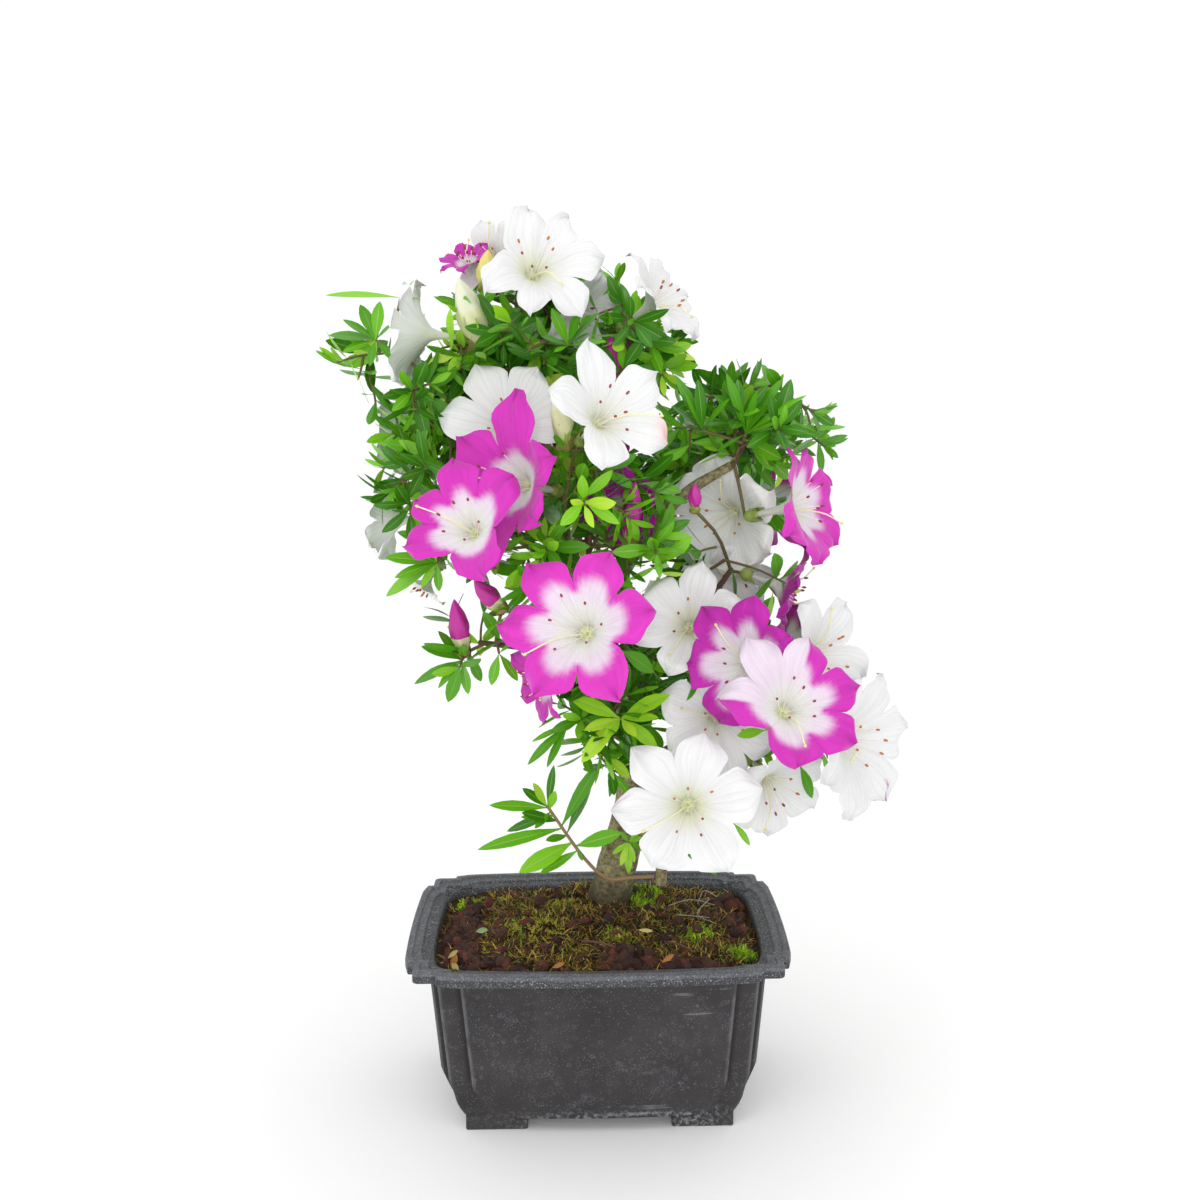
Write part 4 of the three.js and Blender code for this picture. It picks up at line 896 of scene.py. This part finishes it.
def grow_mass(name, limb, seed, leaves, twigs):
    centre, reach, shoots = MASSES[name]
    hub, reach = vec(centre), vec(reach)
    near = [b for b in BLOOMS if np.linalg.norm(b["at"] - hub) < max(reach) + b["across"]]
    mass = dict(centre=hub, reach=reach, near=near)
    random = stream(seed)
    tip, direction = limb
    start = tip + direction * GAP
    bend = mix(start, hub, 0.5) + direction * np.linalg.norm(start - hub) * 0.12
    branches = [(start, bend), (bend, hub)]
    tube(twigs, smooth_line([tip - direction * 2, start, bend, hub], 10), np.linspace(1.9, 1.2, 10), 7, 0)
    for bloom in (b for b in BLOOMS if b["mass"] == name):
        heel = bloom["at"] + bloom["axis"] * (HEEL - 0.035) * bloom["across"]
        grow_twig(twigs, branches, heel, 0.9, 0.75, random, 2, 6)
        tint = int(1 + 3 * random())
        whorl(leaves, mass, heel - bloom["axis"] * 6, heel, UP * 0.2, random, tint, 0.9, 6)
    for bud in (b for b in BUDS if b[0] == name):
        foot = vec(bud[1])
        grow_twig(twigs, branches, foot, 0.9, 0.8, random, 2)
        along = unit(vec(bud[2]) - foot)
        tint = int(2 + 3 * random())
        whorl(leaves, mass, foot - along * 6, foot - along, UP * 0.2, random, tint, 0.75, 5)
    for _, foot, ratio, tint, tips in (s for s in STRAYS if s[0] == name):
        foot = vec(foot)
        grow_twig(twigs, branches, foot, 0.9, 0.6, random, 2)
        for leaf_tip in tips:
            way = vec(leaf_tip) - foot
            direction = unit(way)
            normal = vec(0.2 * (random() - 0.5), -0.55, 0.85)
            normal = unit(normal - direction * normal.dot(direction))
            length = float(np.linalg.norm(way))
            leaves.add(foot + direction * 0.5, direction, normal, length, length * ratio,
                       tint + int(2 * random()), 0.1, 0.2, 0.3 * (random() - 0.5))
    phase = random() * FULL_TURN
    ends = []
    for i in range(shoots):
        z = 1 - 2 * (i + 0.5) / shoots
        depth = mix(0.15, 0.3, random()) if i % 4 == 3 else mix(0.46, 0.62, random())
        ends.append((z, phase + i * GOLDEN, depth))
    spread = [on_ball(z, angle) * reach * depth + hub for z, angle, depth in ends]
    spread.sort(key=lambda p: np.linalg.norm(p - start))
    fine = int(shoots * (0.5 if name == SPARSE else FINE_SHOOTS))
    phase = random() * FULL_TURN
    for i in range(fine):
        z = 1 - 2 * (i + 0.5) / fine
        angle = phase + i * GOLDEN + 0.5 * (random() - 0.5)
        depth = mix(0.4, 0.9, random() ** 0.7)
        end = on_ball(z, angle) * reach * depth + hub
        if wobble(end, 13, 1.0) < OPENNESS:
            spread.append(end)
    for number, end in enumerate(spread):
        if in_sky(end) or any(bloom_holds(b, end) for b in near):
            continue
        thick, slot = (0.95, 0) if number < shoots else (0.7, 2)
        line = grow_twig(twigs, branches, end, thick, 0.5, random, slot)
        lean = unit(unit(end - hub) + UP)
        young = random()
        tint = sum(young >= step for step in (0.3, 0.6, 0.82, 0.94))
        whorl(leaves, mass, line[-2], end, lean, random, tint,
              mix(0.8, 1.05, random()), 3 if name == SPARSE else 7 + int(3 * random()))


SOFT = 0.5                # rounding of the feet's lower edges

# ---- Pot ---------------------------------------------------------------------------

def pot_outline(half_width, half_depth, stepped, corner_radius, notch_share):
    """A rectangle with swelling sides, its corners stepped back or plain arcs."""
    x, y = half_width - BULGE["short"], half_depth - BULGE["long"]

    def arc(centre, radius, first, last, count):
        turn = np.linspace(first, last, count)
        return [(centre[0] + radius * math.cos(a), centre[1] + radius * math.sin(a)) for a in turn]

    if stepped:
        step, side_step = NOTCH["step"] * notch_share, NOTCH["side_step"] * notch_share
        width, side_width, r = NOTCH["width"], NOTCH["side_width"], corner_radius
        soft = min(0.8, side_step * 0.45)
        quarter = (arc((x - soft, y - side_width - soft), soft, 0, math.pi / 2, 4)
                   + arc((x - side_step + soft, y - side_width + soft), soft, -math.pi / 2, -math.pi, 4)
                   + arc((x - side_step - r, y - step - r), r, 0, math.pi / 2, 9)
                   + arc((x - width + soft, y - step + soft), soft, -math.pi / 2, -math.pi, 4)
                   + arc((x - width - soft, y - soft), soft, 0, math.pi / 2, 4))
    else:
        quarter = arc((x - corner_radius, y - corner_radius), corner_radius, 0, math.pi / 2, 25)
    start, stop = quarter[0][1], quarter[-1][0]
    # The swell is measured to the corner, so the sides meet it without a step.
    short_side = [(half_width - BULGE["short"] * (k / half_depth) ** 2, k)
                  for k in np.linspace(-start, start, 15)[1:-1]]
    long_side = [(k, half_depth - BULGE["long"] * (k / half_width) ** 2)
                 for k in np.linspace(stop, -stop, 23)[1:-1]]
    half = short_side + quarter + long_side + [(-a, b) for a, b in reversed(quarter)]
    return np.array(half + [(-a, -b) for a, b in half])


def ring_at(outline, z):
    return np.column_stack([outline, np.full(len(outline), float(z))])


def rim_ring(inset, z):
    return ring_at(pot_outline(POT["half_width"] - inset, POT["half_depth"] - inset, True, 2.5, 1.0), z)


def wall_ring(inset, depth_inset, z, radius=5.5, notch_share=0.85):
    width = POT["half_width"] - (POT["body_inset"] + inset)
    depth = POT["half_depth"] - (POT["body_inset"] + depth_inset)
    return ring_at(pot_outline(width, depth, True, radius, notch_share), z)


def inside_ring(inset, depth_inset, z):
    width = POT["half_width"] - (POT["body_inset"] + POT["wall"] + inset)
    depth = POT["half_depth"] - (POT["body_inset"] + POT["wall"] + depth_inset)
    return ring_at(pot_outline(width, depth, False, 9, 0), z)


def build_pot():
    build = Build()
    height, under = POT["height"], POT["height"] - POT["rim_drop"]
    profile = [(14.6, 4.6, POT["foot_height"], 3, 0.2), (13.8, 4.3, 8.15, 3.2, 0.22),
               (11.6, 3.9, 10.2, 4, 0.35), (9.1, 3.4, 13.6, 4.5, 0.55), (7.2, 3.0, 18, 5, 0.75),
               (5.8, 2.8, 21.5, 5.5, 0.82), (4.6, 2.6, 25, 5.5, 0.85)]
    rings = [wall_ring(*row) for row in profile]
    for t in np.linspace(0.1, 1, 10):
        rings.append(wall_ring(mix(4.6, 0, t), mix(2.6, 0, t), mix(25, under, t)))
    for inset, z in [(0.9, under + 0.05), (0.35, under + 0.1), (0.05, under + 0.5), (0, under + 1.0),
                     (0, height - 1.0), (0.08, height - 0.45), (0.3, height - 0.12), (0.7, height),
                     (2.8, height), (3.2, height - 0.15), (3.4, height - 1.0), (3.7, height - 1.25),
                     (6.6, height - 1.35), (7.0, height - 1.55), (7.15, height - 2.1), (7.4, height - 2.3),
                     (9.2, height - 2.4)]:
        rings.append(rim_ring(inset, z))
    for inset, depth_inset, z in [(-1.9, -1.9, height - 2.6), (-0.9, -0.9, height - 2.9),
                                  (-0.4, -0.4, height - 3.6), (0.2, 0.1, height - 8), (4.6, 2.6, 25),
                                  (14, 7.5, POT["floor"])]:
        rings.append(inside_ring(inset, depth_inset, z))
    count = len(rings[0])
    build.add(np.array(rings), grid_faces(len(rings), count, closed=True))
    for ring, flip in ((rings[0], True), (rings[-1], False)):
        middle = ring[:, :2].mean(0)
        inner = np.column_stack([mix(ring[:, :2], middle, 0.98), ring[:, 2]])
        faces = grid_faces(2, count, closed=True)
        build.add(np.array([ring, inner]), faces[:, ::-1] if flip else faces)
    for sx in (1, -1):
        for sy in (1, -1):
            add_foot(build, sx, sy)
    return build


def add_foot(build, sx, sy):
    """An L-shaped foot with a low bracket, its edges softened."""
    x1, y1 = FOOT["outer_x"], FOOT["outer_y"]
    length, depth, thick, top = FOOT["length"], FOOT["depth"], FOOT["thick"], POT["foot_height"] + 1

    def block(x_low, x_high, y_low, y_high, z_low):
        rings = []
        for inset, z in ((SOFT, z_low), (0.12 * SOFT, z_low + 0.35 * SOFT), (0, z_low + SOFT), (0, top)):
            corners = []
            r = 1.2 - inset * 0.5
            for cx, cy, first in ((x_high - r, y_high - r, 0), (x_low + r, y_high - r, 90),
                                  (x_low + r, y_low + r, 180), (x_high - r, y_low + r, 270)):
                for a in np.radians(np.linspace(first, first + 90, 4)):
                    corners.append((cx + (r - inset) * math.cos(a), cy + (r - inset) * math.sin(a), z))
            rings.append(corners)
        rings = np.array(rings)
        middle = rings[0].mean(0)
        rings = np.concatenate([mix(rings[:1], middle, 0.98), rings])
        points = rings * np.array([sx, sy, 1])
        faces = grid_faces(len(rings), rings.shape[1], closed=True)
        build.add(points, faces if sx * sy > 0 else faces[:, ::-1])

    block(x1 - length, x1, y1 - thick, y1, 0)
    block(x1 - thick, x1, y1 - depth, y1 - thick + 1, 0)
    bracket_low = POT["foot_height"] - FOOT["bracket_drop"] + 0.2
    block(x1 - length - FOOT["bracket"], x1 - length + 1.5, y1 - thick, y1, bracket_low)


# ---- Soil --------------------------------------------------------------------------

def soil_tree():
    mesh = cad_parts["soil"].data
    points = [v.co.copy() for v in mesh.vertices]
    return BVHTree.FromPolygons(points, [tuple(p.vertices) for p in mesh.polygons])


def soil_height(tree, x, y):
    spot = (np.array([x, y, 200.0]) + SHIFT) / 1000
    hit = tree.ray_cast(Vector(spot), Vector((0, 0, -1)))[0]
    return None if hit is None else hit.z * 1000


def clods(x, y):
    point = np.array([x, y, 0.0])
    return (2.3 * wobble(point, 6.5, 1.0) + 1.6 * wobble(point, 2.6, 4.0) + 0.8 * wobble(point, 1.1, 7.0)
            + 1.2 * abs(wobble(point, 3.4, 2.0)))


def patch_at(x, y):
    """The patch that holds a place and how deep inside it the place is, from 0 to 1."""
    blur = 0.34 * wobble(np.array([x, y, 0.0]), 4.2, 3.0) + 0.2 * wobble(np.array([x, y, 0.0]), 1.9, 6.0)
    best, depth = "fibre", 0.0
    for kind, cx, cy, rx, ry in PATCHES:
        inside = 1 - math.hypot((x - cx) / rx, (y - cy) / ry) + blur
        if inside > depth:
            best, depth = kind, inside
    return best, min(depth, 1.0)


def build_soil():
    tree = soil_tree()
    bed = Build()
    outline = inside_ring(0.15, 0.15, 0)[:, :2]
    rows, spokes = 52, len(outline)
    points = np.zeros((rows, spokes, 3))

    def ground(x, y, z):
        kind, depth = patch_at(x, y)
        edge = min(BED["half_width"] - abs(x), BED["half_depth"] - abs(y))
        low = 2.2 * (1 - smooth(0, 9, edge))
        return z - 0.8 - low + clods(x, y) + (2.4 * depth if kind in ("moss", "feather", "olive") else 0.0)

    for r in range(rows):
        share = r / (rows - 1)
        for s in range(spokes):
            x, y = mix(outline[s], vec(BED["middle"]), share)
            z = soil_height(tree, *mix(outline[s], vec(BED["middle"]), max(share, 0.012)))
            z = BED["at_wall"] if z is None else z
            points[r, s] = (x, y, mix(z, ground(x, y, z), smooth(0, 0.06, share)))
    bed.add(points, grid_faces(rows, spokes, closed=True))
    granules, fibres = Build(), Build()
    random = stream(SEED + 5)
    cube = cube_sphere()
    for _ in range(BED["spots"]):
        x, y = 76 * (2 * random() - 1), 50 * (2 * random() - 1)
        z = soil_height(tree, x, y)
        if z is None or np.hypot(x - 7.5, y - 19) < 11:
            continue
        kind, depth = patch_at(x, y)
        at = vec(x, y, ground(x, y, z))
        if kind == "lava" or random() < 0.09:
            size = mix(0.9, 3.8, random() ** 2.2)
            add_stone(granules, cube, at + UP * 0.3 * size, size, random, int(3 * random()))
        if kind != "lava" or random() < 0.35:
            for _ in range(3 if kind == "lava" else STRANDS[kind][-1]):
                off = vec(random() - 0.5, random() - 0.5, 0) * (3.0 if kind != "fibre" else 6.0)
                add_fibre(fibres, at + off, "fibre" if kind == "lava" else kind, random)
    return bed, granules, fibres


def add_litter(litter):
    """Pale roots, dry leaves and bits of twig that lie on the soil."""
    for line in ([(36, 4, 93), (48, 7, 95), (60, 3, 93.5)],
                 [(53, 12, 92), (57, 3, 97), (50, -7, 93), (59, -14, 91)],
                 [(62, 15, 93), (55, 11, 98), (51, 3, 94)], [(40, -6, 92.5), (47, -11, 94), (56, -9, 92)]):
        tube(litter, smooth_line(line, 12), np.linspace(0.24, 0.14, 12), 5, 0)
    for foot, tip, wide, slot in (
            ((-70, -45, 84), (-67, -47, 92), 1.6, 1), ((-66, -48, 84), (-69, -50, 89), 1.5, 2),
            ((-72, -38, 86), (-67, -40, 91), 1.1, 2), ((-60, -17, 90), (-54, -19, 92), 1.4, 3),
            ((-22, -48, 85), (-16, -49, 88), 1.2, 1), ((30, -46, 86), (36, -44, 89), 1.2, 1),
            ((20, -20, 91), (27, -24, 92), 1.0, 2)):
        foot, tip = vec(foot), vec(tip)
        way = unit(tip - foot)
        face = vec(0.2, -1, 0.5)
        across = unit(np.cross(way, face)) * wide
        rows = [(mix(foot, tip, t), across * w)
                for t, w in ((0, 0.1), (0.3, 0.8), (0.6, 1.0), (0.85, 0.6), (1, 0.05))]
        blade = [[p - w, p + face * -0.3 * wide, p + w] for p, w in rows]
        litter.add(np.array(blade), grid_faces(5, 3), slot)
    for a, b, radius in (((-8, -30, 90), (9, -36, 89), 0.6), ((26, 30, 91), (40, 26, 93), 0.7),
                         ((-40, 22, 91), (-30, 12, 92), 0.6), ((34, -30, 89), (46, -40, 88), 0.5),
                         ((-56, 10, 90), (-46, 2, 91), 0.5)):
        tube(litter, smooth_line([vec(a), mix(vec(a), vec(b), 0.5) + UP, vec(b)], 7), radius, 6, 4)


def cube_sphere():
    """A ball of 24 quads."""
    points, faces = [], []
    index = {}
    for axis in range(3):
        for sign in (-1, 1):
            grid = {}
            for i in range(3):
                for j in range(3):
                    p = [0.0, 0.0, 0.0]
                    p[axis] = sign
                    p[(axis + 1) % 3] = (i - 1) * sign
                    p[(axis + 2) % 3] = j - 1
                    key = tuple(p)
                    if key not in index:
                        index[key] = len(points)
                        points.append(p)
                    grid[i, j] = index[key]
            for i in range(2):
                for j in range(2):
                    faces.append((grid[i, j], grid[i + 1, j], grid[i + 1, j + 1], grid[i, j + 1]))
    points = np.array(points, float)
    return points / np.linalg.norm(points, axis=1)[:, None], np.array(faces)


def add_stone(build, cube, at, size, random, slot):
    points, faces = cube
    stretch = vec(mix(0.7, 1.3, random()), mix(0.7, 1.3, random()), mix(0.55, 1.0, random()))
    turn = Matrix.Rotation(6.28 * random(), 3, Vector((random() - 0.5, random() - 0.5, random() + 0.1)))
    rough = 1 + 0.42 * wobble(points * 5, 2.1, 9 * random())
    build.add(at + size * (points * rough[:, None] * stretch) @ np.array(turn).T, faces, slot)


def add_fibre(build, at, kind, random):
    """A curved strand of moss or bark fibre, three quads long."""
    short, long, low, high, half, _ = STRANDS[kind]
    length = mix(short, long, random())
    heading = 6.28 * random()
    rise = mix(low, high, random() ** 1.4)
    flat = vec(math.cos(heading), math.sin(heading), 0)
    sideways = vec(-math.sin(heading), math.cos(heading), 0)
    across = (sideways + UP * (random() - 0.5)) * half
    bow, veer = mix(-0.5, 0.7, random()), 0.8 * (random() - 0.5)
    sidle = sideways * veer
    line = []
    for t in (0, 0.35, 0.7, 1):
        lift = UP * (rise * t + bow * t * (1 - t) * 0.9)
        line.append(at + length * (t * flat * (1 - rise * 0.6) + sidle * t * t + lift))
    strip = np.array([[p - across * w, p + across * w] for p, w in zip(line, (1.0, 1.1, 0.8, 0.15))])
    pick, slot = random(), 0
    for share, slot in SHADES[kind]:
        if pick < share:
            break
    build.add(strip, grid_faces(4, 2), slot)


# ---- Making the pieces -------------------------------------------------------------

limbs = Build()
trunk_line = smooth_line([point for point, _ in TRUNK], 90)
trunk_radii = np.interp(np.linspace(0, len(TRUNK) - 1, 90), np.arange(len(TRUNK)), [r for _, r in TRUNK])


def bark_relief(points, angle, share, radius):
    ridges = wobble(points * vec(1, 1, 0.35), 2.2, 3.0) + 0.6 * wobble(points * vec(1, 1, 0.6), 1.0, 1.0)
    return 0.06 * radius * ridges


def trunk_relief(points, angle, share, radius):
    flare = 0.1 * max(0, 1 - 9 * share) * np.cos(4 * angle + 0.6) * radius
    knots = 0.07 * radius * wobble(points, 6.5, 5.0)
    return bark_relief(points, angle, share, radius) + flare + knots


tube(limbs, trunk_line, trunk_radii, 56, 0, trunk_relief, first=UP)
limb_ends = {"top": (trunk_line[-1], unit(trunk_line[-1] - trunk_line[-2]))}
for name, (points, thick, thin) in BOUGHS.items():
    line = smooth_line(points, 26)
    tube(limbs, line, np.linspace(thick, thin, 26), 20, 0, bark_relief)
    limb_ends[name] = (line[-1], unit(line[-1] - line[-2]))
limbs.piece("trunk_and_boughs", [bark_material()], "bark",
            replaces=["trunk", *("bough_" + name for name in BOUGHS)])

leaves, twigs = Leaves(), Build()
for i, name in enumerate(MASSES):
    grow_mass(name, limb_ends[name], SEED + 977 * i, leaves, twigs)


def grow_sprig(plan, slot, seed):
    """A twig whose few leaves are placed one by one."""
    stem = [vec(p) for p in plan["stem"]]
    tube(twigs, smooth_line(stem, 20), np.linspace(*plan["radii"], 20), 8, slot)
    random = stream(seed)
    for share, tip, ratio, tint in plan["leaves"]:
        root = mix(stem[-2], stem[-1], share)
        way = vec(tip) - root
        length = np.linalg.norm(way)
        direction = way / length
        normal = UP - direction * direction[2] + vec(0.6 * (random() - 0.5), -0.9, 0)
        normal = unit(normal - direction * normal.dot(direction))
        leaves.add(root, direction, normal, length, length * ratio, tint,
                   mix(-0.04, 0.08, random()), mix(0.1, 0.3, random()), 0.3 * (random() - 0.5))


grow_sprig(SPRIG, 3, SEED + 3)
grow_sprig(TRUNK_SHOOT, 1, SEED + 4)

GREENS = [(0.042, 0.2, 0.004), (0.078, 0.31, 0.005), (0.132, 0.44, 0.008), (0.205, 0.55, 0.012),
          (0.31, 0.66, 0.018), (0.43, 0.73, 0.03), (0.58, 0.79, 0.09)]
RIBS = [(0.15, 0.33, 0.05), (0.3, 0.5, 0.1), (0.5, 0.66, 0.2)]
RIB_SLOTS = np.array([7, 7, 8, 8, 8, 9, 9])
BACK_FROM = 14            # leaves whose root lies further back than this join leaves_back
leaf_materials = plain_set(420, *((f"leaf_{i}", colour, 0.3 + 0.02 * i, 0.25)
                                  for i, colour in enumerate(GREENS)), specular=0.34)
leaf_materials += plain_set(420, *((f"rib_{i}", colour, 0.5, 0.2) for i, colour in enumerate(RIBS)))
halves = {"leaves_front": Leaves(), "leaves_back": Leaves()}
for row in leaves.rows:
    halves["leaves_front" if row[0][1] < BACK_FROM else "leaves_back"].rows.append(row)
masses = {"leaves_front": ["foliage_low_sprig"], "leaves_back": []}
for name in MASSES:
    masses["leaves_back" if "back" in name else "leaves_front"].append("foliage_" + name)
for name, half in halves.items():
    half.build(RIB_SLOTS).piece(name, leaf_materials, "foliage", replaces=masses[name])
twigs.piece("twigs", plain_set(900, ("twig_bark", (0.12, 0.062, 0.036), 0.75, 0.6),
                               ("shoot_green", (0.17, 0.24, 0.05), 0.6, 0.4),
                               ("shoot_brown", (0.16, 0.12, 0.045), 0.7, 0.5),
                               ("sprig_bark", (0.27, 0.17, 0.08), 0.7, 0.5)), "bark")

petal = petal_material()
edged, white, parts = lay_out_blooms()
edged.piece("blooms_edged", [petal], "foliage")
white.piece("blooms_white", [petal], "foliage")
parts.piece("bloom_hearts", plain_set(
    900,
    ("filament", (0.88, 0.8, 0.78), 0.5, 0.2),
    ("anther_dark", (0.3, 0.045, 0.06), 0.6, 0.4),
    ("anther_orange", (0.5, 0.17, 0.03), 0.6, 0.4),
    ("pistil", (0.85, 0.82, 0.5), 0.45, 0.2),
    ("stigma", (0.78, 0.72, 0.3), 0.4, 0.3),
    ("calyx", (0.3, 0.4, 0.08), 0.5, 0.3),
    ("pit_pale", (0.72, 0.77, 0.46), 0.6, 0.3),
    ("pit_green", (0.42, 0.52, 0.2), 0.6, 0.3)), "foliage")

BUD_STATIONS = [0, 0.1, 0.3, 0.5, 0.75, 0.92, 1]
BUD_WIDTHS = [0.25, 0.55, 0.9, 1, 0.72, 0.32, 0.06]
buds = Build()


def add_bud(foot, tip, thick, kind, turn):
    """A furled bud clasped by scales. The magenta ones are cream at the foot."""
    rows, sides = 22, 30
    axis = unit(tip - foot)
    share = np.linspace(0, 1, rows)
    line = foot + share[:, None] * (tip - foot)
    swell = np.interp(share, BUD_STATIONS, BUD_WIDTHS) * thick / 2

    def furl(points, angle, along, radius):
        return radius * (0.2 * np.abs(np.sin(2.5 * angle + 5.2 * along + turn)) - 0.1)

    slots = {"cream": [0] * 12 + [4] * 10, "yellow": [1] * rows, "purple": [0] * 7 + [2] * 15,
             "dark": [3] * 3 + [2] * 19}[kind]
    tube(buds, line, swell, sides, np.repeat(slots, sides), furl)
    length = np.linalg.norm(tip - foot)
    scales(buds, foot - axis * 1.5, axis, 0.42 * length, 0.62 * thick, 6, 3, turn)
    scales(buds, foot - axis * 2.0, axis, 0.26 * length, 0.72 * thick, 5, 5, turn + 0.6)


for number, (_, foot, tip, thick, kind) in enumerate(BUDS):
    add_bud(vec(foot), vec(tip), thick, kind, 1.7 * number)
buds.piece("buds", plain_set(
    500,
    ("bud_cream", (0.74, 0.74, 0.42), 0.5, 0.3),
    ("bud_yellow", (0.74, 0.64, 0.2), 0.5, 0.3),
    ("bud_magenta", (0.5, 0.02, 0.3), 0.5, 0.3),
    ("bud_scale", (0.42, 0.52, 0.1), 0.5, 0.3),
    ("bud_pale", (0.76, 0.77, 0.58), 0.5, 0.3),
    ("bud_scale_brown", (0.33, 0.3, 0.09), 0.6, 0.3)), "foliage")

build_pot().piece("pot_shell", [pot_material()], "pot", replaces=["pot"])
bed, granules, fibres = build_soil()
bed.piece("soil_bed", [soil_material()], "soil", replaces=["soil"])
granules.piece("soil_granules", plain_set(
    1500,
    ("lava_dark", (0.04, 0.016, 0.012), 0.95, 1.0),
    ("lava_red", (0.12, 0.034, 0.022), 0.95, 1.0),
    ("lava_brown", (0.07, 0.029, 0.018), 0.95, 1.0), distance=0.001), "soil", flat=True)
fibres.piece("moss_and_fibres", plain_set(
    900,
    ("moss_bright", (0.46, 0.68, 0.02), 0.8, 0.4),
    ("moss_green", (0.2, 0.42, 0.016), 0.8, 0.4),
    ("moss_olive", (0.36, 0.32, 0.03), 0.85, 0.4),
    ("fibre_dark", (0.022, 0.011, 0.004), 0.9, 0.4),
    ("fibre_brown", (0.16, 0.078, 0.02), 0.9, 0.4),
    ("fibre_gold", (0.58, 0.38, 0.07), 0.9, 0.4)), "soil")
litter = Build()
add_litter(litter)
litter.piece("litter", plain_set(
    900,
    ("root_pale", (0.36, 0.35, 0.32), 0.7, 0.4),
    ("leaf_dry", (0.42, 0.17, 0.05), 0.8, 0.4),
    ("leaf_straw", (0.55, 0.45, 0.16), 0.8, 0.4),
    ("leaf_grey", (0.25, 0.34, 0.16), 0.7, 0.4),
    ("twig_dry", (0.12, 0.06, 0.03), 0.85, 0.5)), "soil")

# ---- Floor, light and camera -------------------------------------------------------

floor_mesh = bpy.data.meshes.new("floor")
floor_mesh.from_pydata([(-6, -6, 0), (6, -6, 0), (6, 6, 0), (-6, 6, 0)], [], [(0, 1, 2, 3)])
floor = bpy.data.objects.new("floor", floor_mesh)
bpy.context.scene.collection.objects.link(floor)
floor_mesh.materials.append(plain_material("floor", (0.97, 0.97, 0.97), 0.9, 8, 0.02, specular=0.1))

world = bpy.data.worlds.new("studio")
bpy.context.scene.world = world
world.use_nodes = True
world.node_tree.nodes["Background"].inputs["Color"].default_value = (1.0, 1.0, 1.0, 1)
world.node_tree.nodes["Background"].inputs["Strength"].default_value = 1.03


def soft_light(name, at, target, size, power):
    light = bpy.data.lights.new(name, "AREA")
    light.shape = "DISK"
    light.size = size
    light.energy = power
    lamp = bpy.data.objects.new(name, light)
    bpy.context.scene.collection.objects.link(lamp)
    lamp.location = at
    way = Vector(target) - Vector(at)
    lamp.rotation_euler = way.to_track_quat("-Z", "Y").to_euler()


soft_light("key", (-0.6, -0.9, 1.5), (0, 0, 0.25), 0.7, 1.7)
soft_light("front", (-0.05, -1.3, 0.56), (0, 0, 0.24), 0.26, 3.4)
soft_light("top", (0.1, 0.4, 1.7), (0, 0, 0.2), 0.9, 1.2)

CAMERA = dict(at=(-7.8, -672.9, 382.0), pitch=10.9, turn=0.9, roll=-0.46, lens=42.51)
pitch, turn, roll = (math.radians(CAMERA[key]) for key in ("pitch", "turn", "roll"))
forward = vec(math.sin(turn) * math.cos(pitch), math.cos(turn) * math.cos(pitch), -math.sin(pitch))
right = vec(math.cos(turn), -math.sin(turn), 0)
up = np.cross(right, forward)
right, up = (right * math.cos(roll) + up * math.sin(roll), up * math.cos(roll) - right * math.sin(roll))
camera_data = bpy.data.cameras.new("camera")
camera_data.sensor_width = 36
camera_data.lens = CAMERA["lens"]
camera_data.clip_start = 0.01
camera = bpy.data.objects.new("camera", camera_data)
bpy.context.scene.collection.objects.link(camera)
place = (vec(CAMERA["at"]) + SHIFT) / 1000
rows = [(*row, spot) for row, spot in zip(np.array([right, up, -forward]).T, place)]
camera.matrix_world = Matrix(rows + [(0, 0, 0, 1)])
bpy.context.scene.camera = camera
bpy.context.scene.view_settings.view_transform = "Standard"
